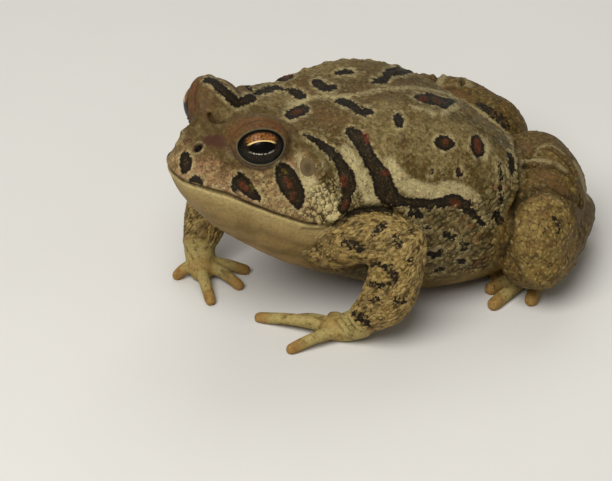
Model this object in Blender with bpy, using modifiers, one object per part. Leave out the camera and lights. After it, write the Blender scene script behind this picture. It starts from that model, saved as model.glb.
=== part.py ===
# Fowler's toad, life size, sitting with its head raised.
# It faces -Y, its left side is +X, and it rests on Z = 0. Tables are in millimetres.

import math
import random

import bmesh
import bpy
from mathutils import Matrix, Vector
from mathutils.bvhtree import BVHTree

MM = 0.001
GAP = 0.3
SHIFT = Vector((0.0, -3.7, 0.0))

# Trunk sections from snout to rump: place along Y, half width, top, widest level, underside,
# and how square the section is above and below its widest level
TRUNK = (
    (-32.5, 1.8, 31.0, 29.9, 28.4, 2.0, 2.0),
    (-31.9, 3.5, 32.2, 29.6, 26.6, 2.0, 2.0),
    (-30.6, 5.2, 33.4, 29.0, 24.2, 1.9, 2.0),
    (-28.7, 7.0, 34.7, 28.2, 21.4, 1.9, 2.0),
    (-26.0, 8.9, 35.8, 27.4, 18.2, 2.0, 2.1),
    (-22.0, 11.1, 36.3, 26.6, 14.6, 2.3, 2.2),
    (-18.0, 12.7, 36.2, 25.4, 11.2, 2.7, 2.2),
    (-14.0, 13.8, 35.8, 23.4, 8.4, 2.8, 2.2),
    (-10.0, 15.0, 35.2, 21.6, 6.2, 2.8, 2.2),
    (-5.0, 16.6, 34.9, 19.4, 3.6, 2.9, 2.2),
    (0.0, 18.2, 34.5, 17.6, 1.2, 3.0, 2.3),
    (6.0, 19.6, 33.6, 15.8, -0.5, 3.0, 2.5),
    (12.0, 20.3, 31.5, 14.4, -0.9, 3.0, 2.6),
    (18.0, 20.1, 28.0, 13.2, -0.9, 2.9, 2.6),
    (23.0, 18.8, 23.8, 12.2, -0.5, 2.8, 2.6),
    (28.0, 15.8, 18.8, 11.2, 1.4, 2.6, 2.4),
    (32.0, 12.0, 14.6, 10.2, 4.0, 2.4, 2.3),
    (35.0, 7.6, 11.8, 9.2, 6.0, 2.2, 2.2),
    (36.6, 2.8, 10.0, 8.6, 7.4, 2.0, 2.0),
)
SECTION_POINTS = 40
SECTIONS = 56
TRUNK_VOXEL = 0.5

# Eyes, lids and ears
EYE = Vector((6.9, -21.7, 35.2))
EYE_RADIUS = 4.4
EYE_LOOK = Vector((0.84, -0.36, 0.42))
EYE_OPENING = (3.6, 2.9)
OPENING_DEPTH = 3.0
LID = 0.9
LID_RIM = 0.55
LID_STEPS = 32
MOUND_SHIFT = Vector((-0.4, -0.3, -0.2))
MOUND_LONGER = 0.5
EAR = Vector((12.0, -15.6, 31.6))
EAR_LOOK = Vector((0.93, 0.05, 0.3))
EAR_RADIUS = 2.2
EAR_THICKNESS = 0.7
NOSTRIL = Vector((2.3, -29.4, 34.7))
NOSTRIL_RADIUS = 0.6

# Raised forms of the head and neck: X, Y, Z and radius at each point of their routes
PAROTOID = ((7.2, -13.4, 33.6, 1.8), (10.0, -10.6, 32.6, 2.3), (12.4, -8.0, 30.0, 2.3),
            (14.0, -6.6, 27.2, 1.8))
CANTHUS = ((2.1, -29.6, 32.9, 1.3), (3.5, -27.4, 34.2, 1.6), (5.0, -25.0, 35.4, 1.8))
CREST = ((3.6, -25.0, 36.2, 0.9), (3.4, -20.0, 36.1, 0.8), (4.6, -16.4, 35.6, 0.9), (8.6, -16.2, 34.4, 0.9))

# Warts: low domes, in rows along the dark bands of the shoulder and flank, and strewn over the back.
# A cluster of pale glands, each with its own radius, lies behind the jaw.
WART_RADIUS = (0.8, 1.4)
WART_HEIGHT = 0.5
WART_ROWS = (
    ((13, -12, 33), (15, -7, 30), (17, -5, 26)),
    ((11, -8, 35), (16, -3, 32), (19, 0, 26), (20, 3, 22)),
    ((20, 4, 23), (21, 10, 21), (20, 15, 22)),
)
ROW_STEP = 2.6
STREWN_WARTS = 44
STREWN_ALONG = (-9, 31)
STREWN_ARC = (-0.1 * math.pi, 1.1 * math.pi)
STREWN_REACH = 24
STREWN_LEVEL = 15
WART_SPACING = 3.2
WART_SEED = 7
HIP = (13, 21.5)
SHOULDER = (3, 24)
JAW_GLANDS = ((12.6, -16.6, 25.6, 0.8), (13.0, -15.8, 23.6, 0.8), (13.9, -12.6, 22.6, 1.3),
              (14.0, -12.2, 25.4, 0.9), (14.7, -10.4, 23.8, 0.9))

# The line of the mouth, from the lip back past the jaw's corner: place along Y, height.
# The upper lip is a roll just above it, read round the snout from a point inside the head.
MOUTH = ((-36.0, 30.0), (-31.0, 29.4), (-27.4, 28.2), (-21.4, 24.8), (-16.7, 22.3), (-11.0, 20.6))
MOUTH_STEPS = 24
LIP_RADIUS = 0.65
LIP_RISE = 0.65
LIP_SUNK = 0.35
LIP_CENTRE = Vector((0.0, -19.0, 27.0))
LIP_TURN = math.radians(82)
LIP_STEPS = 24
LIP_TRIES = 4
NECK = Vector((0.0, -14.0, 24.0))
NECK_LEAN = math.radians(14)
MOULD_SPARE = 0.03
UNDER_FLOOR = 20
REACH = 120

# Limb routes: X, Y, Z and radius at each point. The hind legs match; the right arm reaches further ahead.
UPPER_ARM = ((11, -10.5, 15.5, 4.2), (15, -8.5, 17.8, 4.0), (18.5, -6.2, 19.0, 3.8), (21, -4, 18.0, 3.8))
FOREARM = ((21, -4, 18.0, 3.7), (21.0, -4.9, 13.9, 4.2), (20.2, -6.4, 8.2, 4.1), (18.2, -9.0, 4.6, 2.7))
PALM = ((17.6, -9.6, 3.4, 2.4), (15.8, -11.2, 2.1, 2.2), (14.8, -12.4, 1.8, 1.9))
FINGERS = (
    ((15.6, -11.0, 2.0, 1.05), (12.8, -10.5, 1.7, 0.95), (10.6, -10.3, 0.7, 0.85)),
    ((15.0, -12.0, 2.0, 1.05), (11.0, -14.0, 1.9, 0.85), (7.8, -16.0, 0.65, 0.8)),
    ((15.0, -12.6, 2.0, 1.05), (9.6, -16.6, 1.9, 0.85), (4.4, -20.2, 0.65, 0.8)),
    ((15.8, -12.8, 2.0, 1.05), (15.4, -17.0, 1.8, 0.85), (14.7, -20.6, 0.65, 0.8)),
)
RIGHT_UPPER_ARM = ((11, -12.5, 16.5, 4.2), (15, -11.8, 17.6, 4), (18, -11.2, 17.4, 3.8), (19.6, -11, 16, 3.8))
RIGHT_FOREARM = ((19.6, -11, 16, 3.7), (19.0, -13.4, 11.8, 4.0), (17.2, -17, 7.6, 3.7), (14.8, -20, 4.6, 2.7))
RIGHT_PALM = ((14.2, -20.4, 3.4, 2.4), (12.4, -21.2, 2.1, 2.2), (11.2, -21.8, 1.8, 1.9))
RIGHT_FINGERS = (
    ((12.4, -20.6, 2.0, 1.05), (10.4, -17.6, 1.7, 0.85), (8.8, -15.0, 0.65, 0.8)),
    ((12.0, -21.0, 2.0, 1.05), (8.6, -19.4, 1.8, 0.85), (5.4, -18.2, 0.65, 0.8)),
    ((11.8, -21.6, 2.0, 1.05), (8.0, -23.2, 1.9, 0.85), (4.0, -24.4, 0.65, 0.8)),
    ((12.6, -22.2, 2.0, 1.05), (13.0, -23.8, 1.7, 0.85), (13.3, -25.2, 0.65, 0.8)),
)
THIGH = ((7, 31.0, 12.2, 7.2), (13, 28.2, 12.9, 7.6), (18.6, 23.6, 13.2, 6.6), (22.6, 20.2, 12.8, 5.4))
SHANK = ((22.8, 20.2, 8.6, 5.3), (19.2, 26.8, 8.4, 5.1), (14.8, 33.0, 7.4, 4.2), (11.4, 37.0, 5.8, 3.1))
TARSUS = ((10.8, 36.8, 3.2, 2.4), (12.4, 32.4, 1.7, 2.0), (15.2, 27.6, 1.4, 2.0))
TOES = (
    ((14.4, 28.0, 1.3, 1.3), (13.8, 25.0, 1.1, 1.0), (13.4, 22.4, 0.8, 1.0)),
    ((14.9, 27.6, 1.3, 1.3), (14.6, 23.0, 1.1, 1.0), (14.6, 18.8, 0.8, 1.0)),
    ((15.4, 27.4, 1.3, 1.3), (16.6, 21.4, 1.1, 1.0), (17.4, 16.0, 0.8, 1.0)),
    ((15.9, 27.2, 1.3, 1.3), (18.8, 20.6, 1.1, 1.0), (21.4, 13.8, 0.8, 1.0)),
    ((16.2, 27.4, 1.3, 1.3), (20.0, 23.4, 1.1, 1.0), (23.6, 19.6, 0.8, 1.0)),
)


# Each kind of sub-part: how many triangles it keeps, then its colour and roughness
TRIANGLES = {
    "trunk": 6400, "upper_arm": 260, "forearm": 260, "hand": 620, "thigh": 320, "shank": 320, "foot": 620,
    "trunk_mould": 3200, "mould": 420,
}
LIMB_VOXEL = 0.45
DIGIT_VOXEL = 0.32
FINISH = {
    "head": ((0.25, 0.17, 0.10), 0.6),
    "lower_jaw": ((0.50, 0.41, 0.28), 0.6),
    "torso": ((0.33, 0.25, 0.15), 0.65),
    "upper_arm": ((0.36, 0.27, 0.15), 0.6),
    "forearm": ((0.36, 0.27, 0.15), 0.6),
    "hand": ((0.40, 0.27, 0.13), 0.55),
    "thigh": ((0.34, 0.26, 0.14), 0.65),
    "shank": ((0.36, 0.28, 0.14), 0.65),
    "foot": ((0.38, 0.26, 0.13), 0.55),
    "eye": ((0.05, 0.03, 0.015), 0.08),
    "tympanum": ((0.22, 0.16, 0.10), 0.55),
}
SMOOTH_UNDER = math.radians(50)


def start_empty():
    for thing in list(bpy.data.objects):
        bpy.data.objects.remove(thing)
    for group in list(bpy.data.collections):
        bpy.data.collections.remove(group)


def new_collection(name):
    group = bpy.data.collections.new(name)
    bpy.context.scene.collection.children.link(group)
    return group


def make_material(name, colour, roughness):
    material = bpy.data.materials.new(name)
    material.use_nodes = True
    shader = material.node_tree.nodes["Principled BSDF"]
    shader.inputs["Base Color"].default_value = (*colour, 1.0)
    shader.inputs["Roughness"].default_value = roughness
    shader.inputs["Metallic"].default_value = 0.0
    return material


def add_object(name, mesh, group):
    thing = bpy.data.objects.new(name, mesh)
    group.objects.link(thing)
    if group.name == "cutters":
        thing.hide_render = True
        thing.display_type = "WIRE"
    return thing


def object_from_bmesh(name, shape, group):
    mesh = bpy.data.meshes.new(name)
    shape.to_mesh(mesh)
    shape.free()
    return add_object(name, mesh, group)


def apply_modifiers(thing):
    depsgraph = bpy.context.evaluated_depsgraph_get()
    mesh = bpy.data.meshes.new_from_object(thing.evaluated_get(depsgraph))
    thing.modifiers.clear()
    thing.data = mesh


def mirror_point(point, side):
    return Vector((point[0] * side, point[1], point[2]))


def mirror_route(route, side):
    return [(x * side, y, z, radius) for x, y, z, radius in route]


def facing(look):
    """The turn that points local Z along a direction."""
    return look.to_track_quat("Z", "Y")


def smooth_rows(rows, count):
    """Rows read at even steps from a smooth curve through the table's rows."""
    last = len(rows) - 1
    result = []
    for step in range(count):
        place = step * last / (count - 1)
        i = min(int(place), last - 1)
        t = place - i
        near = [rows[max(0, min(last, i + k))] for k in (-1, 0, 1, 2)]
        row = []
        for a, b, c, d in zip(*near):
            slope_in, slope_out = (c - a) / 2, (d - b) / 2
            cubic = 2 * b - 2 * c + slope_in + slope_out
            square = 3 * (c - b) - 2 * slope_in - slope_out
            row.append(((cubic * t + square) * t + slope_in) * t + b)
        result.append(row)
    return result


def section_ring(half_width, top, widest, underside, square_top, square_bottom):
    ring = []
    for k in range(SECTION_POINTS):
        angle = math.tau * k / SECTION_POINTS
        across, up = math.cos(angle), math.sin(angle)
        power = 2 / (square_top if up > 0 else square_bottom)
        x = math.copysign(abs(across) ** power, across) * half_width
        rise = abs(up) ** power
        z = widest + rise * (top - widest) if up > 0 else widest - rise * (widest - underside)
        ring.append((x, z))
    return ring


def loft_trunk(group):
    shape = bmesh.new()
    rings = []
    for y, *sizes in smooth_rows(TRUNK, SECTIONS):
        ring = section_ring(*sizes)
        rings.append([shape.verts.new(Vector((x, y, z)) * MM) for x, z in ring])
    for ring, following in zip(rings, rings[1:]):
        for k in range(SECTION_POINTS):
            after = (k + 1) % SECTION_POINTS
            shape.faces.new((ring[k], following[k], following[after], ring[after]))
    shape.faces.new(rings[0])
    shape.faces.new(reversed(rings[-1]))
    bmesh.ops.recalc_face_normals(shape, faces=shape.faces)
    return object_from_bmesh("trunk", shape, group)


def ball(centre, radii, group, turn=None, segments=24):
    shape = bmesh.new()
    bmesh.ops.create_uvsphere(shape, u_segments=segments, v_segments=segments // 2, radius=MM)
    place = Matrix.Translation(Vector(centre) * MM)
    if turn is not None:
        place = place @ turn.to_matrix().to_4x4()
    shape.transform(place @ Matrix.Diagonal((*radii, 1.0)))
    return object_from_bmesh("ball", shape, group)


def disc(centre, look, radius, depth, group):
    shape = bmesh.new()
    bmesh.ops.create_cone(shape, cap_ends=True, segments=16, radius1=radius * MM, radius2=radius * MM,
                          depth=depth * MM)
    shape.transform(Matrix.Translation(centre * MM) @ facing(look).to_matrix().to_4x4())
    return object_from_bmesh("disc", shape, group)


def box(centre, size, group, turn=0.0):
    shape = bmesh.new()
    bmesh.ops.create_cube(shape, size=MM)
    place = Matrix.Translation(Vector(centre) * MM) @ Matrix.Rotation(turn, 4, "X")
    shape.transform(place @ Matrix.Diagonal((*size, 1.0)))
    return object_from_bmesh("box", shape, group)


def mesh_from_curve(curve, group):
    thing = add_object("curve", curve, group)
    depsgraph = bpy.context.evaluated_depsgraph_get()
    mesh = bpy.data.meshes.new_from_object(thing.evaluated_get(depsgraph))
    bpy.data.objects.remove(thing)
    shape = bmesh.new()
    shape.from_mesh(mesh)
    bmesh.ops.remove_doubles(shape, verts=shape.verts, dist=1e-6)
    bmesh.ops.recalc_face_normals(shape, faces=shape.faces)
    return object_from_bmesh("curve", shape, group)


def tube(route, group):
    """A round form along a route, with ball ends."""
    curve = bpy.data.curves.new("tube", "CURVE")
    curve.dimensions = "3D"
    curve.bevel_depth = MM
    curve.bevel_resolution = 4
    curve.resolution_u = 6
    curve.use_fill_caps = True
    spline = curve.splines.new("BEZIER")
    spline.bezier_points.add(len(route) - 1)
    for point, (x, y, z, radius) in zip(spline.bezier_points, route):
        point.co = Vector((x, y, z)) * MM
        point.radius = radius
        point.handle_left_type = "AUTO"
        point.handle_right_type = "AUTO"
    pieces = [mesh_from_curve(curve, group)]
    for x, y, z, radius in (route[0], route[-1]):
        pieces.append(ball((x, y, z), (radius,) * 3, group, segments=16))
    return pieces


def lid_ring(eye, look, group):
    """The rim of the lids: a ring on the eyeball round its opening."""
    turn = facing(look)
    across, up = (size + LID_RIM for size in EYE_OPENING)
    reach = EYE_RADIUS + GAP + LID_RIM
    curve = bpy.data.curves.new("lid", "CURVE")
    curve.dimensions = "3D"
    curve.bevel_depth = LID_RIM * MM
    curve.bevel_resolution = 2
    spline = curve.splines.new("POLY")
    spline.points.add(LID_STEPS - 1)
    spline.use_cyclic_u = True
    for k, point in enumerate(spline.points):
        angle = math.tau * k / LID_STEPS
        x, y = across * math.cos(angle), up * math.sin(angle)
        place = eye + turn @ Vector((x, y, math.sqrt(reach ** 2 - x * x - y * y)))
        point.co = (*(place * MM), 1.0)
    return mesh_from_curve(curve, group)


def join(name, pieces):
    shape = bmesh.new()
    for piece in pieces:
        shape.from_mesh(piece.data)
    group = pieces[0].users_collection[0]
    for piece in pieces:
        bpy.data.objects.remove(piece)
    return object_from_bmesh(name, shape, group)


def fuse(thing, voxel, rounds, triangles=None):
    """One closed skin over overlapping pieces, smoothed, and thinned out to a number of triangles."""
    remesh = thing.modifiers.new("skin", "REMESH")
    remesh.mode = "VOXEL"
    remesh.voxel_size = voxel * MM
    smooth = thing.modifiers.new("soften", "SMOOTH")
    smooth.factor = 0.5
    smooth.iterations = rounds
    apply_modifiers(thing)
    if triangles is None:
        return
    thin = thing.modifiers.new("thin out", "DECIMATE")
    faces = sum(len(face.vertices) - 2 for face in thing.data.polygons)
    thin.ratio = min(1.0, triangles / faces)
    apply_modifiers(thing)


def loose_bodies(shape):
    """The sets of corners that edges hold together, the largest first."""
    left = set(shape.verts)
    bodies = []
    while left:
        stack = [left.pop()]
        body = set(stack)
        while stack:
            for edge in stack.pop().link_edges:
                for vert in edge.verts:
                    if vert in left:
                        left.discard(vert)
                        body.add(vert)
                        stack.append(vert)
        bodies.append(body)
    return sorted(bodies, key=len, reverse=True)


def split_bodies(thing):
    """The closed bodies of a mesh, each as an object of its own, the largest first."""
    shape = bmesh.new()
    shape.from_mesh(thing.data)
    bmesh.ops.triangulate(shape, faces=shape.faces)
    group = thing.users_collection[0]
    result = []
    for body in loose_bodies(shape):
        number = {vert: n for n, vert in enumerate(sorted(body, key=lambda vert: vert.index))}
        faces = [[number[v] for v in face.verts] for face in shape.faces if face.verts[0] in body]
        mesh = bpy.data.meshes.new("body")
        mesh.from_pydata([vert.co[:] for vert in number], [], faces)
        result.append(add_object("body", mesh, group))
    shape.free()
    bpy.data.objects.remove(thing)
    return result


def keep_largest(thing):
    """The largest closed body of a mesh. Its scraps are dropped."""
    bodies = split_bodies(thing)
    for scrap in bodies[1:]:
        bpy.data.objects.remove(scrap)
    return bodies[0]


def cut(thing, *cutters):
    for cutter in cutters:
        boolean = thing.modifiers.new("cut", "BOOLEAN")
        boolean.operation = "DIFFERENCE"
        boolean.solver = "EXACT"
        boolean.object = cutter
        apply_modifiers(thing)


def mould_of(thing, triangles, cutters):
    """The shape that a neighbour is cut back by: this one, larger all round by the gap."""
    mould = add_object(thing.name + "_mould", thing.data.copy(), cutters)
    swell = mould.modifiers.new("gap", "DISPLACE")
    swell.strength = (GAP + MOULD_SPARE) * MM
    swell.mid_level = 0.0
    fuse(mould, TRUNK_VOXEL, 0, triangles)
    return mould


def trim_under_floor(thing, cutters):
    """Takes away what lies under the floor level, which leaves small flats to rest on."""
    cut(thing, box((0, 0, -UNDER_FLOOR / 2), (REACH, REACH, UNDER_FLOOR), cutters))
    return keep_largest(thing)


def nearest_on(tree, point):
    place, normal, _, _ = tree.find_nearest(Vector(point) * MM)
    return place / MM, normal


def mouth_height(y):
    for (y0, z0), (y1, z1) in zip(MOUTH, MOUTH[1:]):
        if y <= y1:
            return z0 + (z1 - z0) * (y - y0) / (y1 - y0)
    return MOUTH[-1][1]


def lip_route(tree):
    """The upper lip, from one corner of the jaw round the snout to the other."""
    route = []
    for step in range(LIP_STEPS + 1):
        angle = LIP_TURN * (2 * step / LIP_STEPS - 1)
        across = Vector((math.sin(angle), -math.cos(angle), 0))
        y = LIP_CENTRE.y
        for _ in range(LIP_TRIES):
            start = Vector((0, LIP_CENTRE.y, mouth_height(y) + LIP_RISE))
            place = tree.ray_cast(start * MM, across)[0] / MM
            y = place.y
        route.append((*(place - across * LIP_SUNK), LIP_RADIUS))
    return route


def wart(place, normal, radius, group):
    return ball(place, (radius, radius, radius * WART_HEIGHT), group, facing(normal), 12)


def wart_places(tree):
    """Where the warts sit: glands behind the jaw, rows along the bands, and the rest strewn
    over the back and flanks, clear of each other, of the face and of the legs."""
    draw = random.Random(WART_SEED)
    warts = []
    for side in (1, -1):
        for *point, radius in JAW_GLANDS:
            warts.append((*nearest_on(tree, mirror_point(point, side)), radius))
        for row in WART_ROWS:
            length = sum(math.dist(a, b) for a, b in zip(row, row[1:]))
            for point in smooth_rows(row, round(length / ROW_STEP) + 1):
                place, normal = nearest_on(tree, mirror_point(point, side))
                warts.append((place, normal, draw.uniform(*WART_RADIUS)))
    strewn = 0
    while strewn < STREWN_WARTS:
        angle = draw.uniform(*STREWN_ARC)
        y = draw.uniform(*STREWN_ALONG)
        radius = draw.uniform(*WART_RADIUS)
        across, up = STREWN_REACH * math.cos(angle), STREWN_REACH * math.sin(angle)
        place, normal = nearest_on(tree, (across, y, STREWN_LEVEL + up))
        crowded = any((place - other).length < WART_SPACING for other, _, _ in warts)
        by_hip = place.y > HIP[0] and place.z < HIP[1]
        by_shoulder = place.y < SHOULDER[0] and place.z < SHOULDER[1]
        if crowded or by_hip or by_shoulder:
            continue
        warts.append((place, normal, radius))
        strewn += 1
    return warts


def surface_of(thing):
    return BVHTree.FromObject(thing, bpy.context.evaluated_depsgraph_get())


def make_trunk(parts):
    """Head and body in one: the loft, with eye mounds, lids, crests, glands, lips and warts."""
    loft = loft_trunk(parts)
    pieces = tube(lip_route(surface_of(loft)), parts)
    pieces.append(loft)
    for side in (1, -1):
        eye = mirror_point(EYE, side)
        size = EYE_RADIUS + LID
        pieces.append(ball(eye + mirror_point(MOUND_SHIFT, side), (size, size + MOUND_LONGER, size), parts))
        pieces.append(lid_ring(eye, mirror_point(EYE_LOOK, side).normalized(), parts))
        for route in (PAROTOID, CANTHUS, CREST):
            pieces += tube(mirror_route(route, side), parts)
    trunk = join("trunk", pieces)
    fuse(trunk, TRUNK_VOXEL, 4)
    warts = [wart(*row, parts) for row in wart_places(surface_of(trunk))]
    trunk = join("trunk", [trunk, *warts])
    fuse(trunk, TRUNK_VOXEL, 2, TRIANGLES["trunk"])
    return trunk


def cut_face_details(trunk, cutters):
    for side in (1, -1):
        look = mirror_point(EYE_LOOK, side).normalized()
        eye = mirror_point(EYE, side)
        socket = ball(eye, (EYE_RADIUS + GAP,) * 3, cutters)
        opening = ball(eye + look * EYE_RADIUS, (*EYE_OPENING, OPENING_DEPTH), cutters, facing(look))
        nostril = ball(mirror_point(NOSTRIL, side), (NOSTRIL_RADIUS,) * 3, cutters, segments=8)
        ear_look = mirror_point(EAR_LOOK, side).normalized()
        recess = disc(mirror_point(EAR, side), ear_look, EAR_RADIUS + GAP, 2 * EAR_THICKNESS, cutters)
        cut(trunk, socket, opening, nostril, recess)


def mouth_sheet(group):
    """A thin curved sheet that parts the jaw from the head along the line of the mouth."""
    shape = bmesh.new()
    edges = []
    for y, z in smooth_rows(MOUTH, MOUTH_STEPS):
        edges.append([shape.verts.new(Vector((x, y, z)) * MM) for x in (-REACH, REACH)])
    for (left, right), (left_after, right_after) in zip(edges, edges[1:]):
        shape.faces.new((left, right, right_after, left_after))
    sheet = object_from_bmesh("mouth_sheet", shape, group)
    solid = sheet.modifiers.new("thickness", "SOLIDIFY")
    solid.thickness = GAP * MM
    solid.offset = 0.0
    apply_modifiers(sheet)
    return sheet


def part_head(trunk, cutters):
    """Parts the trunk into head, lower jaw and torso with thin cuts."""
    cut(trunk, box(NECK, (REACH, GAP, REACH), cutters, -NECK_LEAN))
    front, torso = sorted(split_bodies(trunk)[:2], key=lambda body: min(v.co.y for v in body.data.vertices))
    cut(front, mouth_sheet(cutters))
    jaw, head = sorted(split_bodies(front)[:2], key=lambda body: max(v.co.z for v in body.data.vertices))
    return head, jaw, torso


def make_limb(name, routes, side, parts, voxel=LIMB_VOXEL, rounds=3):
    pieces = []
    for route in routes:
        pieces += tube(mirror_route(route, side), parts)
    limb = join(name, pieces)
    fuse(limb, voxel, rounds, TRIANGLES[name])
    return limb


def make_arm(side, trunk_mould, parts, cutters):
    upper_route, fore_route, palm, fingers = (UPPER_ARM, FOREARM, PALM, FINGERS)
    if side < 0:
        upper_route, fore_route, palm, fingers = (RIGHT_UPPER_ARM, RIGHT_FOREARM, RIGHT_PALM, RIGHT_FINGERS)
    upper = make_limb("upper_arm", [upper_route], side, parts)
    upper_mould = mould_of(upper, TRIANGLES["mould"], cutters)
    cut(upper, trunk_mould)
    fore = make_limb("forearm", [fore_route], side, parts)
    fore_mould = mould_of(fore, TRIANGLES["mould"], cutters)
    cut(fore, trunk_mould, upper_mould)
    hand = trim_under_floor(make_limb("hand", [palm, *fingers], side, parts, DIGIT_VOXEL, 2), cutters)
    cut(hand, fore_mould)
    return {
        "upper_arm": keep_largest(upper),
        "forearm": keep_largest(fore),
        "hand": keep_largest(hand),
    }


def make_leg(side, trunk_mould, parts, cutters):
    thigh = make_limb("thigh", [THIGH], side, parts)
    thigh_mould = mould_of(thigh, TRIANGLES["mould"], cutters)
    cut(thigh, trunk_mould)
    shank = make_limb("shank", [SHANK], side, parts)
    shank_mould = mould_of(shank, TRIANGLES["mould"], cutters)
    cut(shank, trunk_mould, thigh_mould)
    foot = trim_under_floor(make_limb("foot", [TARSUS, *TOES], side, parts, DIGIT_VOXEL, 2), cutters)
    cut(foot, trunk_mould, thigh_mould, shank_mould)
    return {
        "thigh": keep_largest(thigh),
        "shank": keep_largest(shank),
        "foot": keep_largest(foot),
    }


def make_eye(side, parts):
    return ball(mirror_point(EYE, side), (EYE_RADIUS,) * 3, parts)


def make_tympanum(side, parts):
    look = mirror_point(EAR_LOOK, side).normalized()
    centre = mirror_point(EAR, side) - look * (EAR_THICKNESS / 2 - GAP)
    return disc(centre, look, EAR_RADIUS, EAR_THICKNESS, parts)


def finish(name, thing):
    kind = name.removesuffix("_left").removesuffix("_right")
    thing.name = name
    thing.data.name = name
    thing.data.transform(Matrix.Translation(SHIFT * MM))
    thing.data.materials.clear()
    thing.data.materials.append(make_material(name, *FINISH[kind]))
    thing.data.shade_smooth()
    thing.data.set_sharp_from_angle(angle=SMOOTH_UNDER)
    print(name, len(thing.data.polygons))


def main():
    start_empty()
    parts = new_collection("fowlers_toad")
    cutters = new_collection("cutters")
    trunk = trim_under_floor(make_trunk(parts), cutters)
    trunk_mould = mould_of(trunk, TRIANGLES["trunk_mould"], cutters)
    cut_face_details(trunk, cutters)
    head, jaw, torso = part_head(trunk, cutters)
    named = {"head": head, "lower_jaw": jaw, "torso": torso}
    for side, word in ((1, "left"), (-1, "right")):
        pieces = {
            **make_arm(side, trunk_mould, parts, cutters),
            **make_leg(side, trunk_mould, parts, cutters),
            "eye": make_eye(side, parts),
            "tympanum": make_tympanum(side, parts),
        }
        named.update({f"{kind}_{word}": thing for kind, thing in pieces.items()})
    for name, thing in named.items():
        finish(name, thing)


main()
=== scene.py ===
import math
import random

import bmesh
import bpy
import numpy as np
from mathutils import Matrix, Vector, noise
from mathutils.bvhtree import BVHTree
from mathutils.kdtree import KDTree


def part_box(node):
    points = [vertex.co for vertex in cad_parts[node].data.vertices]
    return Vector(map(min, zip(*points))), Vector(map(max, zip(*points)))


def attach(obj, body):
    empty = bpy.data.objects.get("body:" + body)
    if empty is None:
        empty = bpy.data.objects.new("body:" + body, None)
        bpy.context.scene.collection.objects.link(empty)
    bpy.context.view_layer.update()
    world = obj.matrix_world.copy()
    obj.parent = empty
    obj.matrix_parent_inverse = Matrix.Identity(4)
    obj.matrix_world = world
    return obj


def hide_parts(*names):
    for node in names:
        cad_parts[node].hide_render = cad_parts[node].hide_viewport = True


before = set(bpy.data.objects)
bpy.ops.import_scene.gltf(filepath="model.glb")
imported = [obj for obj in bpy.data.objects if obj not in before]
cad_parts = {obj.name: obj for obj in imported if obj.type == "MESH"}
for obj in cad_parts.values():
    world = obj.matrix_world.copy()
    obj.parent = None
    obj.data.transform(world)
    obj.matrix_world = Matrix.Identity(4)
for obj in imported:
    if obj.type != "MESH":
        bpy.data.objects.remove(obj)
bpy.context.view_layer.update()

# The toad is drawn in millimetres. It faces -Y, and its left side is +X.
mm = 0.001

eye = {
    "centre": Vector((6.9, -21.7, 35.2)),
    "radius": 4.4,
    "look": Vector((0.84, -0.36, 0.42)).normalized(),
    "rightLook": Vector((-0.784, -0.613, 0.119)).normalized(),      # the photo shows this eye turned ahead
    "cornea": 0.4,
    "corneaSpread": 0.62,
    "halfWidth": 3.45,          # of the opening between the lids
    "halfUp": 2.5,
    "halfDown": 2.6,
    "pupil": (2.05, 0.92),
}
bothEyes = [corner for name in ("eye_left", "eye_right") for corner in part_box(name)]
betweenEyes = Vector((0, eye["centre"].y, eye["centre"].z)) * mm
shift = sum(bothEyes, Vector()) / len(bothEyes) - betweenEyes       # from the drawing to the frame

# The photo's camera, found from the eye, the mouth, the back and the hands
photo = {
    "turn": math.radians(32),
    "rise": math.radians(33),
    "pixelsPerMm": 6.4,
    "distance": 600,
    "size": (612, 481),
    "snout": Vector((0, -33, 30)),
    "snoutPixel": (174, 173),
}


def cameraAxes():
    turn, rise = photo["turn"], photo["rise"]
    back = Vector((math.cos(rise) * math.cos(turn), -math.cos(rise) * math.sin(turn), math.sin(rise)))
    across = Vector((math.sin(turn), math.cos(turn), 0))
    return across, back.cross(across), back


# The point on the picture's plane that a pixel of the photo shows.
def throughPixel(x, y):
    across, up, _ = cameraAxes()
    fromX, fromY = photo["snoutPixel"]
    scale = photo["pixelsPerMm"]
    return photo["snout"] + across * ((x - fromX) / scale) + up * ((fromY - y) / scale)


# Where the photo shows each point, in pixels across and down
def toPixels(points):
    across, up, back = (np.array(axis) for axis in cameraAxes())
    away = points - np.array(cameraPlace)
    scale = photo["pixelsPerMm"] * photo["distance"] / -(away @ back)
    return photo["size"][0] / 2 + (away @ across) * scale, photo["size"][1] / 2 - (away @ up) * scale


pictureCentre = throughPixel(photo["size"][0] / 2, photo["size"][1] / 2)
cameraPlace = pictureCentre + cameraAxes()[2] * photo["distance"]


def newObject(name, data):
    thing = bpy.data.objects.new(name, data)
    bpy.context.scene.collection.objects.link(thing)
    return thing


def fromBmesh(name, shape):
    mesh = bpy.data.meshes.new(name)
    shape.to_mesh(mesh)
    shape.free()
    return newObject(name, mesh)


def dress(thing, material):
    thing.data.materials.clear()
    thing.data.materials.append(material)
    thing.data.shade_smooth()


def evaluated(thing):
    depsgraph = bpy.context.evaluated_depsgraph_get()
    return bpy.data.meshes.new_from_object(thing.evaluated_get(depsgraph))


def settle(thing):
    mesh = evaluated(thing)
    thing.modifiers.clear()
    thing.data = mesh


def readPoints(mesh, kind="co"):
    values = np.zeros(len(mesh.vertices) * 3, np.float32)
    if kind == "co":
        mesh.vertices.foreach_get("co", values)
    else:
        mesh.vertex_normals.foreach_get("vector", values)
    return values.reshape(-1, 3).astype(float)


def writePoints(mesh, points):
    mesh.vertices.foreach_set("co", points.astype(np.float32).ravel())
    mesh.update()


def readAttribute(mesh, name):
    values = np.zeros(len(mesh.vertices), np.float32)
    mesh.attributes[name].data.foreach_get("value", values)
    return values


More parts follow.
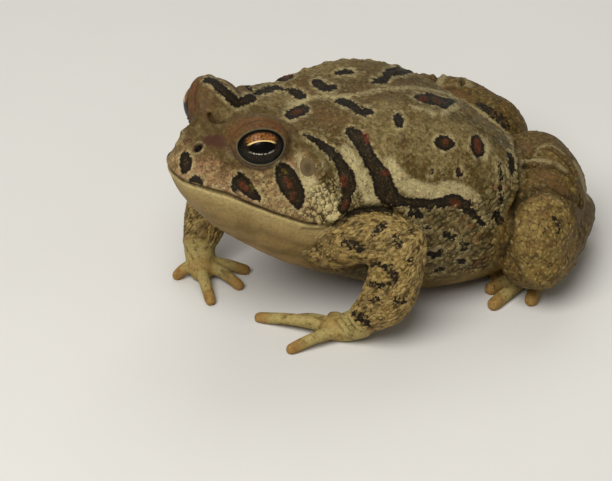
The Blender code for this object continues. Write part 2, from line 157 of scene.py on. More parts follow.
def setAttribute(mesh, name, values):
    layer = mesh.attributes.get(name) or mesh.attributes.new(name, "FLOAT", "POINT")
    layer.data.foreach_set("value", values.astype(np.float32))


def mirrored(point, side):
    return Vector((point[0] * side, point[1], point[2]))


# The way to each point from a place, or from its mirror image on the right.
def awayFrom(points, place, side):
    return points - np.array(mirrored(place, side))


def moveOut(points, normals, rise):
    return points + normals * rise[:, None]


# A soft hill over a distance, 1 at its middle.
def hill(away, middle, width):
    return np.exp(-((away - middle) / width) ** 2)


def mirroredRoute(route, side):
    return [(x * side, y, z, radius) for x, y, z, radius in route]


def facing(look):
    return look.to_track_quat("Z", "Y")


# Rows read at even steps from a smooth curve through the rows given.
def smoothRows(rows, count):
    last = len(rows) - 1
    result = []
    for step in range(count):
        place = step * last / (count - 1)
        i = min(int(place), last - 1)
        t = place - i
        near = [rows[max(0, min(last, i + k))] for k in (-1, 0, 1, 2)]
        row = []
        for a, b, c, d in zip(*near):
            slopeIn, slopeOut = (c - a) / 2, (d - b) / 2
            row.append((((2 * b - 2 * c + slopeIn + slopeOut) * t + 3 * (c - b) - 2 * slopeIn - slopeOut) * t
                        + slopeIn) * t + b)
        result.append(row)
    return result


# How finely balls and limbs are made before they fuse into the skin
fineness = {
    "ball": 32,
    "limbEnd": 24,
    "limbRound": 8,
    "limbSteps": 12,
}


def ball(centre, radii, turn=None, segments=fineness["ball"]):
    shape = bmesh.new()
    bmesh.ops.create_uvsphere(shape, u_segments=segments, v_segments=segments // 2, radius=1)
    place = Matrix.Translation(Vector(centre))
    if turn is not None:
        place = place @ turn.to_matrix().to_4x4()
    shape.transform(place @ Matrix.Diagonal((*radii, 1.0)))
    return fromBmesh("ball", shape)


# Joins two rings of points with faces.
def band(shape, first, second):
    for k in range(len(first)):
        after = (k + 1) % len(first)
        shape.faces.new((first[k], second[k], second[after], first[after]))


# A round form along a route, with ball ends.
def tube(route):
    curve = bpy.data.curves.new("tube", "CURVE")
    curve.dimensions = "3D"
    curve.bevel_depth = 1
    curve.bevel_resolution = fineness["limbRound"]
    curve.resolution_u = fineness["limbSteps"]
    curve.use_fill_caps = True
    spline = curve.splines.new("BEZIER")
    spline.bezier_points.add(len(route) - 1)
    for point, (x, y, z, radius) in zip(spline.bezier_points, route):
        point.co = (x, y, z)
        point.radius = radius
        point.handle_left_type = point.handle_right_type = "AUTO"
    thing = newObject("tube", curve)
    mesh = evaluated(thing)
    bpy.data.objects.remove(thing)
    shape = bmesh.new()
    shape.from_mesh(mesh)
    bmesh.ops.remove_doubles(shape, verts=shape.verts, dist=1e-4)
    bmesh.ops.recalc_face_normals(shape, faces=shape.faces)
    pieces = [fromBmesh("tube", shape)]
    for x, y, z, radius in (route[0], route[-1]):
        pieces.append(ball((x, y, z), (radius,) * 3, segments=fineness["limbEnd"]))
    return pieces


# One closed skin over overlapping pieces, smoothed.
def fused(name, pieces, voxel, rounds):
    shape = bmesh.new()
    for piece in pieces:
        shape.from_mesh(piece.data)
        bpy.data.objects.remove(piece)
    thing = fromBmesh(name, shape)
    remesh = thing.modifiers.new("skin", "REMESH")
    remesh.mode = "VOXEL"
    remesh.voxel_size = voxel
    soften = thing.modifiers.new("soften", "SMOOTH")
    soften.factor = 0.5
    soften.iterations = rounds
    settle(thing)
    return thing


# 0 before start, 1 after end, and smooth between them.
def ease(values, start, end):
    t = np.clip((values - start) / (end - start), 0, 1)
    return t * t * (3 - 2 * t)


# Smooth noise from -1 to 1, with lumps of about the size given.
def lumps(points, size, seed):
    return np.array([noise.noise(p) for p in (points / size + seed).tolist()])


# A tree that finds the nearest of some points.
def pointTree(points):
    tree = KDTree(len(points))
    for n, place in enumerate(points.tolist()):
        tree.insert(place, n)
    tree.balance()
    return tree


# How far each point is from a line of close points, up to a reach, and the line's nearest point.
def distanceTo(points, line, reach):
    line = np.array(line, float)
    near = np.all((points > line.min(0) - reach) & (points < line.max(0) + reach), axis=1)
    tree = pointTree(line)
    distance = np.full(len(points), float(reach))
    nearest = np.zeros(len(points), int)
    for n in np.flatnonzero(near):
        _, nearest[n], away = tree.find(points[n].tolist())
        distance[n] = min(away, reach)
    return distance, line[nearest]


# The form of head and body: sections from snout to rump, as place along Y, half width, top,
# widest level, underside, and how square the section is above and below
trunk = {
    "rows": (
        (-32.5, 1.8, 31.0, 29.9, 28.4, 2.0, 2.0),
        (-31.9, 3.5, 32.2, 29.6, 26.6, 2.0, 2.0),
        (-30.6, 5.2, 33.4, 29.0, 24.2, 1.9, 2.0),
        (-28.7, 7.0, 34.7, 28.2, 21.4, 1.9, 2.0),
        (-26.0, 8.9, 35.8, 27.4, 18.2, 2.0, 2.1),
        (-22.0, 11.1, 36.3, 26.6, 14.6, 2.3, 2.2),
        (-18.0, 12.7, 36.2, 25.4, 11.2, 2.7, 2.2),
        (-14.0, 13.8, 35.5, 23.4, 8.4, 2.7, 2.2),
        (-10.0, 15.0, 34.8, 21.6, 6.2, 2.7, 2.2),
        (-5.0, 16.6, 34.9, 19.4, 3.6, 2.9, 2.2),
        (0.0, 18.2, 34.5, 17.6, 1.2, 3.0, 2.3),
        (6.0, 19.6, 33.6, 15.8, -0.5, 3.0, 2.5),
        (12.0, 20.3, 31.5, 14.4, -0.9, 3.0, 2.6),
        (18.0, 20.1, 28.0, 13.2, -0.9, 2.9, 2.6),
        (23.0, 18.8, 23.8, 12.2, -0.5, 2.8, 2.6),
        (28.0, 15.8, 18.8, 11.2, 1.4, 2.6, 2.4),
        (32.0, 12.0, 14.6, 10.2, 4.0, 2.4, 2.3),
        (35.0, 7.6, 11.8, 9.2, 6.0, 2.2, 2.2),
        (36.6, 2.8, 10.0, 8.6, 7.4, 2.0, 2.0),
    ),
    "points": 96,
    "rings": 150,
    "parotoid": ((7.2, -13.4, 33.0, 1.8), (10.0, -10.6, 31.5, 2.3), (12.4, -8.0, 29.4, 2.3),
                 (14.0, -6.6, 27.2, 1.8)),
    "canthus": ((2.1, -29.6, 32.9, 1.3), (3.5, -27.4, 34.2, 1.6), (5.0, -25.0, 35.4, 1.8)),
    "crest": ((3.6, -25.0, 36.2, 0.9), (3.4, -20.0, 36.1, 0.8), (4.6, -16.6, 35.9, 0.9),
              (8.8, -15.6, 34.9, 0.9), (9.4, -13.6, 34.0, 1.0)),
    "brow": 0.9,                # how thick the form is over the eyeball
    "browShift": Vector((-0.4, -1.1, -0.5)),
    "browLonger": 0.5,
    "voxel": 0.5,
    "rounds": 6,
}


def loftTrunk():
    shape = bmesh.new()
    rings = []
    count = trunk["points"]
    for y, halfWidth, top, widest, low, squareUp, squareDown in smoothRows(trunk["rows"], trunk["rings"]):
        ring = []
        for k in range(count):
            across, up = math.cos(math.tau * k / count), math.sin(math.tau * k / count)
            power = 2 / (squareUp if up > 0 else squareDown)
            rise = abs(up) ** power
            z = widest + rise * (top - widest) if up > 0 else widest - rise * (widest - low)
            ring.append(shape.verts.new((math.copysign(abs(across) ** power, across) * halfWidth, y, z)))
        rings.append(ring)
    for ring, following in zip(rings, rings[1:]):
        band(shape, ring, following)
    shape.faces.new(rings[0])
    shape.faces.new(reversed(rings[-1]))
    bmesh.ops.recalc_face_normals(shape, faces=shape.faces)
    return fromBmesh("loft", shape)


# Limb routes: X, Y, Z and radius at each point. The hind legs match; the right arm reaches ahead.
limbs = {
    "leftArm": (
        ((11, -10.5, 15.5, 4.2), (15, -8.5, 17.8, 4.0), (18.5, -6.2, 19.0, 3.8), (21, -4, 18.0, 3.8)),
        ((21, -4, 18.0, 3.7), (21.0, -4.9, 13.9, 4.2), (20.2, -6.4, 8.2, 4.1), (18.2, -9.0, 4.6, 2.7)),
    ),
    "rightArm": (
        ((-11, -12.5, 16.5, 4.2), (-15, -11.8, 17.6, 4), (-18, -11.2, 17.4, 3.8), (-19.6, -11, 16, 3.8)),
        ((-19.6, -11, 16, 3.7), (-19.0, -13.4, 11.8, 4.0), (-17.2, -17, 7.6, 3.7), (-14.8, -20, 4.6, 2.7)),
    ),
    "leg": (
        ((7, 31.0, 12.2, 7.2), (13, 28.2, 12.9, 7.6), (18.6, 23.6, 13.2, 6.6), (22.6, 20.2, 12.8, 5.4)),
        ((22.8, 20.2, 8.6, 5.3), (19.2, 26.8, 8.4, 5.1), (14.8, 33.0, 7.4, 4.2), (11.4, 37.0, 5.8, 3.1)),
    ),
    "leftHand": (
        ((17.6, -9.6, 3.4, 2.4), (15.8, -11.2, 2.1, 2.2), (14.8, -12.4, 1.8, 1.9)),
        ((15.6, -11.0, 2.0, 1.05), (12.8, -10.5, 1.7, 0.95), (10.6, -10.3, 0.7, 0.85)),
        ((15.0, -12.0, 2.0, 1.05), (11.0, -14.0, 1.9, 0.85), (7.8, -16.0, 0.65, 0.8)),
        ((15.0, -12.6, 2.0, 1.05), (9.6, -16.6, 1.9, 0.85), (4.4, -20.2, 0.65, 0.8)),
        ((15.8, -12.8, 2.0, 1.05), (15.4, -17.0, 1.8, 0.85), (14.7, -20.6, 0.65, 0.8)),
    ),
    "rightHand": (
        ((-14.2, -20.4, 3.4, 2.4), (-12.4, -21.2, 2.1, 2.2), (-11.2, -21.8, 1.8, 1.9)),
        ((-12.4, -20.6, 2.0, 1.05), (-10.4, -17.6, 1.7, 0.85), (-8.8, -15.0, 0.65, 0.8)),
        ((-12.0, -21.0, 2.0, 1.05), (-8.6, -19.4, 1.8, 0.85), (-5.4, -18.2, 0.65, 0.8)),
        ((-11.8, -21.6, 2.0, 1.05), (-8.0, -23.2, 1.9, 0.85), (-4.0, -24.4, 0.65, 0.8)),
        ((-12.6, -22.2, 2.0, 1.05), (-13.0, -23.8, 1.7, 0.85), (-13.3, -25.2, 0.65, 0.8)),
    ),
    "foot": (
        ((10.8, 36.8, 3.2, 2.4), (12.4, 32.4, 1.7, 2.0), (15.2, 27.6, 1.4, 2.0)),
        ((14.4, 28.0, 1.3, 1.3), (13.8, 25.0, 1.1, 1.0), (13.4, 22.4, 0.8, 1.0)),
        ((14.9, 27.6, 1.3, 1.3), (14.6, 23.0, 1.1, 1.0), (14.6, 18.8, 0.8, 1.0)),
        ((15.4, 27.4, 1.3, 1.3), (16.6, 21.4, 1.1, 1.0), (17.4, 16.0, 0.8, 1.0)),
        ((15.9, 27.2, 1.3, 1.3), (18.8, 20.6, 1.1, 1.0), (21.4, 13.8, 0.8, 1.0)),
        ((16.2, 27.4, 1.3, 1.3), (20.0, 23.4, 1.1, 1.0), (23.6, 19.6, 0.8, 1.0)),
    ),
}


# Every limb and digit as (kind, route).
def limbRoutes():
    found = [("arm", route) for route in limbs["leftArm"] + limbs["rightArm"]]
    found += [("digit", route) for route in limbs["leftHand"] + limbs["rightHand"]]
    for side in (1, -1):
        found += [("leg", mirroredRoute(route, side)) for route in limbs["leg"]]
        found += [("digit", mirroredRoute(route, side)) for route in limbs["foot"]]
    return found


fineForm = {
    "voxel": 0.32,
    "rounds": 4,
    "triangles": 196000,
    "headFrom": -13.2,          # along Y: the mesh is finer ahead of this
    "headSmoothFrom": -13.0,
    "headFloor": 17,            # and above this height, which rises towards the snout
    "headFloorRise": 0.1,
    "headRounds": 4,
    "headSmoothing": 0.5,
}


# Head, body and limbs as one smooth skin, before its details.
def makeForm():
    pieces = [loftTrunk()]
    for side in (1, -1):
        centre = mirrored(eye["centre"] + trunk["browShift"], side)
        size = eye["radius"] + trunk["brow"]
        pieces.append(ball(centre, (size, size + trunk["browLonger"], size)))
        for name in ("parotoid", "canthus", "crest"):
            pieces += tube(mirroredRoute(trunk[name], side))
    for kind, route in limbRoutes():
        if kind != "digit":
            pieces += tube(route)
    pieces = [fused("body", pieces, trunk["voxel"], trunk["rounds"])]
    for kind, route in limbRoutes():
        if kind == "digit":
            pieces += tube(route)
    form = fused("skin", pieces, fineForm["voxel"], fineForm["rounds"])
    refineHead(form)
    return form


# Halves the mesh of the head, so that it can hold lids, lips and nostrils.
def refineHead(form):
    shape = bmesh.new()
    shape.from_mesh(form.data)
    low, rise = fineForm["headFloor"], fineForm["headFloorRise"]

    def ahead(start):
        return [vert for vert in shape.verts if vert.co.y < start and vert.co.z > low - vert.co.y * rise]

    head = set(ahead(fineForm["headFrom"]))
    edges = [edge for edge in shape.edges if edge.verts[0] in head and edge.verts[1] in head]
    bmesh.ops.subdivide_edges(shape, edges=edges, cuts=1, use_grid_fill=True)
    head = ahead(fineForm["headSmoothFrom"])
    for _ in range(fineForm["headRounds"]):
        bmesh.ops.smooth_vert(shape, verts=head, factor=fineForm["headSmoothing"],
                              use_axis_x=True, use_axis_y=True, use_axis_z=True)
    shape.to_mesh(form.data)
    shape.free()


# The line of the mouth: place along Y and height, from the lip to the jaw's corner. Each lip is its height,
# how far it stands from the line, and its width.
mouth = {
    "line": ((-36.0, 30.0), (-31.0, 29.4), (-27.4, 28.2), (-21.4, 24.8), (-16.7, 22.3), (-11.0, 20.6)),
    "centre": Vector((0, -19, 27)),
    "turn": math.radians(106),
    "steps": 400,
    "passes": 4,                # in which a ray finds the line's height on the skin
    "reach": 2.4,
    "halfGroove": 0.2,
    "depth": 0.55,
    "upperLip": (0.34, 0.75, 0.45),
    "lowerLip": (0.18, 0.6, 0.4),
}


def mouthHeights(y):
    return np.interp(y, *zip(*mouth["line"]))


# The mouth's line on the skin, from one corner round the snout to the other.
def mouthRoute(tree):
    route = []
    for step in range(mouth["steps"] + 1):
        angle = mouth["turn"] * (2 * step / mouth["steps"] - 1)
        across = Vector((math.sin(angle), -math.cos(angle), 0))
        y = mouth["centre"].y
        for _ in range(mouth["passes"]):
            place = tree.ray_cast(Vector((0, mouth["centre"].y, mouthHeights(y))), across)[0]
            y = place.y
        route.append(tuple(place))
    return route


# A narrow groove between two soft lips.
def carveMouth(points, normals, route):
    away, nearest = distanceTo(points, route, mouth["reach"])
    above = points[:, 2] > nearest[:, 2]
    rise = -mouth["depth"] * hill(away, 0, mouth["halfGroove"])
    for lip, where in (("upperLip", above), ("lowerLip", ~above)):
        height, middle, width = mouth[lip]
        rise += height * hill(away, middle, width) * where
    return moveOut(points, normals, rise)


# Lids, as millimetres past the edge of the eye's opening and the height there over the eyeball. The lower lid
# has a double rim, and a crease runs over the upper one. Each blends into the head between two distances.
lids = {
    "upper": ((-9.0, -0.5), (-0.15, -0.5), (0.0, 0.1), (0.12, 0.36), (0.4, 0.56), (0.9, 0.68), (1.35, 0.62),
              (1.6, 0.36), (1.75, 0.36), (2.2, 0.72), (3.2, 0.85)),
    "lower": ((-9.0, -0.5), (-0.15, -0.5), (0.0, 0.0), (0.12, 0.22), (0.3, 0.25), (0.46, 0.08), (0.75, 0.3),
              (1.05, 0.32), (1.4, 0.12), (3.2, 0.5)),
    "upperBlend": (1.8, 3.2),
    "lowerBlend": (1.0, 2.4),
    "corner": (-0.35, 0.35),    # how far up the look, from the lower lid to the upper
    "reach": 3.5,
}


# Along the eye's long axis, up across it, and out of it.
def eyeAxes(side):
    out = eye["look"] if side > 0 else eye["rightLook"]
    along = Vector((0, 0, 1)).cross(out).normalized()
    return along, out.cross(along).normalized(), out


# Where each point is, seen from the eye: the way to it, how far, how much of that is upward across the look,
# and how many millimetres past the opening's edge, along the eyeball.
def roundEye(points, side):
    along, up, out = eyeAxes(side)
    away = awayFrom(points, eye["centre"], side)
    u, v, w = away @ np.array(along), away @ np.array(up), away @ np.array(out)
    length = np.maximum(np.linalg.norm(away, axis=1), 1e-6)
    flat = np.maximum(np.hypot(u, v), 1e-6)
    wide = math.asin(eye["halfWidth"] / eye["radius"])
    tall = np.arcsin(np.where(v > 0, eye["halfUp"], eye["halfDown"]) / eye["radius"])
    edge = 1 / np.hypot(u / flat / wide, v / flat / tall)
    past = (np.arctan2(flat, w) - edge) * eye["radius"]
    return away, length, v / flat, past


def shapeLids(points):
    for side in (1, -1):
        away, length, upward, past = roundEye(points, side)
        upper, lower = (np.interp(past, *zip(*lids[name])) for name in ("upper", "lower"))
        upness = ease(upward, *lids["corner"])
        height = upper * upness + lower * (1 - upness)
        keep = ease(past, *lids["upperBlend"]) * upness + ease(past, *lids["lowerBlend"]) * (1 - upness)
        near = (length < eye["radius"] + lids["reach"]) & (past < lids["upperBlend"][1])
        new = np.where(near, (eye["radius"] + height) * (1 - keep) + length * keep, length)
        points = points + away * (new / length - 1)[:, None]
    return points


farAway = 9.0           # stands for any distance too far to count

# Each rim is its height, how far it stands from the middle, and its width
nostril = {
    "pixel": (198.5, 148.3),
    "radius": 0.66,
    "depth": 1.1,
    "rim": (0.22, 1.05, 0.3),
    "reach": 2,
    "turned": 0.6,              # how far its axis leans from the skin's own way out to the photo's camera
    "rightMove": Vector((-1.0, 0.2, -1.1)),     # it lies lower, on the side that the photo hides
    "places": [],
}
eardrum = {
    "centre": Vector((12.0, -15.6, 31.6)),
    "look": Vector((0.93, 0.05, 0.3)).normalized(),
    "radii": (1.95, 2.05),
    "depth": 0.24,
    "depthEdge": (0.8, 1.12),   # here 1 is the drum's own edge
    "rim": (0.2, 1.28, 0.16),
    "reach": 3,
    "layers": ((0.06, 0.3), (-0.35, 0.0)),      # height over the skin, and how far the edge turns down
    "castFrom": 6,
    "rings": 10,
    "sides": 48,
}


# How far each point is from the axis of the nearer nostril.
def nostrilAway(points):
    least = np.full(len(points), farAway)
    for place, out in nostril["places"]:
        away = points - np.array(place)
        deep = away @ np.array(out)
        aside = np.linalg.norm(away - deep[:, None] * np.array(out), axis=1)
        least = np.minimum(least, np.where(np.abs(deep) < nostril["reach"], aside, farAway))
    return least


def carveNostrils(points, normals):
    away = nostrilAway(points)
    height, middle, width = nostril["rim"]
    rise = -nostril["depth"] * np.exp(-(away / nostril["radius"]) ** 4)
    rise += height * hill(away, middle, width)
    return moveOut(points, normals, rise)


# Along the eardrum, up across it, and out of it.
def eardrumAxes(side):
    out = mirrored(eardrum["look"], side)
    up = (Vector((0, 0, 1)) - out * out.z).normalized()
    return up.cross(out), up, out


# How far each point is from the eardrum's middle: 1 is the edge.
def roundEardrum(points, side):
    along, up, out = eardrumAxes(side)
    away = awayFrom(points, eardrum["centre"], side)
    narrow, tall = eardrum["radii"]
    ring = np.sqrt((away @ np.array(along) / narrow) ** 2 + (away @ np.array(up) / tall) ** 2)
    return np.where(np.abs(away @ np.array(out)) < eardrum["reach"], ring, farAway)


def carveEardrums(points, normals):
    rise = np.zeros(len(points))
    height, middle, width = eardrum["rim"]
    for side in (1, -1):
        ring = roundEardrum(points, side)
        rise -= eardrum["depth"] * (1 - ease(ring, *eardrum["depthEdge"]))
        rise += height * hill(ring, middle, width)
    return moveOut(points, normals, rise)


# Folds of the skin: where they lie, how far they reach, which way the ridges run, how far apart, and how high
folds = {
    "thigh": ((17.5, 23.0, 17.0), (6, 5.5, 9), (-0.35, 0.93, 0.1), 1.8, 0.24),
    "elbow": ((18.5, -5.2, 15.6), (4.5, 4.5, 3.0), (0.2, 0.1, 1.0), 1.3, 0.1),
    "wrist": ((18.0, -9.2, 4.6), (3.4, 3.4, 2.4), (-0.4, -0.5, -0.8), 0.8, 0.12),
    "armPit": ((10.5, -12.0, 12.0), (6, 6, 6), (0.5, 0.6, 0.6), 1.5, 0.12),
    "rump": ((11.0, 34.0, 12.0), (8, 6, 7), (0.3, 0.2, 0.9), 1.6, 0.14),
}
foldEdge = (0.45, 1.0)
foldWander = {
    "size": 4.0,
    "seed": 3.3,
    "amount": 0.9,
}


# Single creases, by the photo's pixels: the line, how deep and how wide in millimetres, and on which sides
creases = {
    "kneeFold": (((511, 216), (516, 205), (524, 198.5), (536, 195.5), (548, 195), (558, 199), (566, 208),
                  (572, 222), (575, 236)), 0.85, 0.55, True),
    "flankFold": (((512, 141), (516.5, 153), (518.5, 169), (518, 188), (516, 206), (513, 226),
                   (508, 243), (501, 259)), 0.75, 0.45, True),
    "thighFold": (((521, 168), (533, 166), (546, 166.5), (558, 170), (567, 177), (575, 189),
                   (580, 203)), 0.6, 0.4, True),
    "thighFoldUpper": (((529, 159), (534, 152), (541, 149), (550, 150.5), (559, 156), (567, 164),
                        (573, 175)), 0.45, 0.34, True),
    "thighFoldLower": (((520, 190), (531, 192), (543, 188), (554, 190), (566, 198),
                        (580, 206)), 0.5, 0.5, True),
    "shoulderFold": (((336, 224), (344, 219), (352, 213), (361, 209.5), (376, 208), (390, 211),
                      (402, 219), (413, 232)), 0.7, 0.6, True),
    "armPitFold": (((345, 236), (360, 245), (376, 250)), 0.4, 0.6, True),
    "browHook": (((210, 115), (211.5, 119.5), (215, 122.6), (220, 123.6), (225, 123)), 0.6, 0.28, False),
    "lidPatchRim": (((252, 106.5), (259, 105.8), (266, 107), (264.5, 112.5), (256, 113), (252, 109.5),
                     (252, 106.5)), 0.2, 0.24, True),
    "browEdge": (((225, 123), (231, 119.5), (236, 115), (243, 112.5)), 0.22, 0.25, False),
    "wristFoldA": (((349, 311), (356, 319), (363, 326)), 0.4, 0.2, False),
    "wristFoldB": (((345, 314), (351, 322), (357, 329)), 0.4, 0.2, False),
    "wristFoldC": (((340, 317), (345, 324), (350, 331)), 0.36, 0.2, False),
    "wristFoldD": (((335, 319), (339, 326), (343, 331)), 0.3, 0.2, False),
    "throatFold": (((262, 232), (285, 240), (310, 247), (338, 252)), 0.2, 0.8, True),
    "jawFold": (((340, 216), (334, 224), (322, 229), (304, 228)), 0.3, 0.4, True),
}
creaseForm = {
    "perPoint": 12,
    "reach": 4,                 # this and the swell's place are in widths of the crease
    "swell": 0.3,
    "swellAt": 2.2,
    # how much painted shade a crease gets for its depth
    "shadePerDepth": 1.6,
}


# Presses the single creases in, with a soft swell beside each. The second result is 1 along them, and sets
# how much painted shade each groove gets.
def carveCreases(points, normals, tree):
    rise = np.zeros(len(points))
    along = np.zeros(len(points))
    for line, depth, width, both in creases.values():
        places = [tuple(throughPhoto(tree, *pixel)) for pixel in line]
        close = smoothRows(places, len(line) * creaseForm["perPoint"])
        for side in (1, -1) if both else (1,):
            reach = width * creaseForm["reach"]
            away, _ = distanceTo(points, [(x * side, y, z) for x, y, z in close], reach)
            groove = hill(away, 0, width)
            swell = hill(away, creaseForm["swellAt"] * width, width)
            rise += depth * (creaseForm["swell"] * swell - groove)
            along = np.maximum(along, groove * min(1.0, depth * creaseForm["shadePerDepth"]))
    return moveOut(points, normals, rise), along


# Rows of soft ridges where the skin gathers.
def gather(points, normals):
    rise = np.zeros(len(points))
    wander = lumps(points, foldWander["size"], foldWander["seed"]) * foldWander["amount"]
    for side in (1, -1):
        for place, reach, across, spacing, height in folds.values():
            away = np.linalg.norm(awayFrom(points, place, side) / np.array(reach), axis=1)
            across = np.array(mirrored(Vector(across).normalized(), side))
            wave = np.sin((points @ across / spacing + wander) * math.tau)
            rise += (1 - ease(away, *foldEdge)) * height * wave
    return moveOut(points, normals, rise)


# Warts: rows along the bands of the shoulder and flank, some in the rust marks, and strewn ones
warts = {
    "rows": (
        ((13, -12, 33), (15, -7, 30), (17, -5, 26)),
        ((11, -8, 35), (16, -3, 32), (19, 0, 26), (20, 3, 22)),
        ((20, 4, 23), (21, 10, 21), (20, 15, 22)),
    ),
    "rowStep": 2.2,
    "inRows": (0.7, 1.1),       # least and greatest radius
    "inMarks": (0.6, 0.9),
    "radius": (0.5, 1.0),
    "strewn": 250,
    "spacing": 1.9,
    "tries": 6000,
    "turns": (-0.15, 1.15),     # half turns over the back, from one flank to the other
    "along": (-14, 33),
    "archRadius": 24,           # the strewn ones fall on the skin from an arch
    "archMiddle": 15,
    "height": 0.36,
    "steep": 1.6,
    "reach": 1.7,
    "seed": 7,
}


# Each wart as its place on the skin and its radius.
def placeWarts(tree):
    draw = random.Random(warts["seed"])
    found = []
    for side in (1, -1):
        for row in warts["rows"]:
            length = sum(math.dist(a, b) for a, b in zip(row, row[1:]))
            for x, y, z in smoothRows(row, round(length / warts["rowStep"]) + 1):
                found.append((tree.find_nearest((x * side, y, z))[0], draw.uniform(*warts["inRows"])))
    for row, both in rustMarks.values():
        for x, y, _ in row:
            place = throughPhoto(tree, x, y)
            for side in (1, -1) if both else (1,):
                found.append((tree.find_nearest(mirrored(place, side))[0], draw.uniform(*warts["inMarks"])))
    wanted = len(found) + warts["strewn"]
    tries = 0
    far = warts["archRadius"]
    while len(found) < wanted and tries < warts["tries"]:
        tries += 1
        angle = draw.uniform(*warts["turns"]) * math.pi
        y = draw.uniform(*warts["along"])
        z = warts["archMiddle"] + far * math.sin(angle)
        place = tree.find_nearest((far * math.cos(angle), y, z))[0]
        radius = draw.uniform(*warts["radius"])
        if all((place - other).length > warts["spacing"] for other, _ in found):
            found.append((place, radius))
    return found


# Soft domes. The second result is 1 on each crown and 0 off it.
def raiseWarts(points, normals, found):
    rise = np.zeros(len(points))
    crown = np.zeros(len(points))
    tree = pointTree(points)
    for place, radius in found:
        for _, n, away in tree.find_range(place, radius * warts["reach"]):
            dome = math.exp(-(away / radius) ** 2 * warts["steep"])
            rise[n] = max(rise[n], dome * radius * warts["height"])
            crown[n] = max(crown[n], dome)
    return moveOut(points, normals, rise), crown


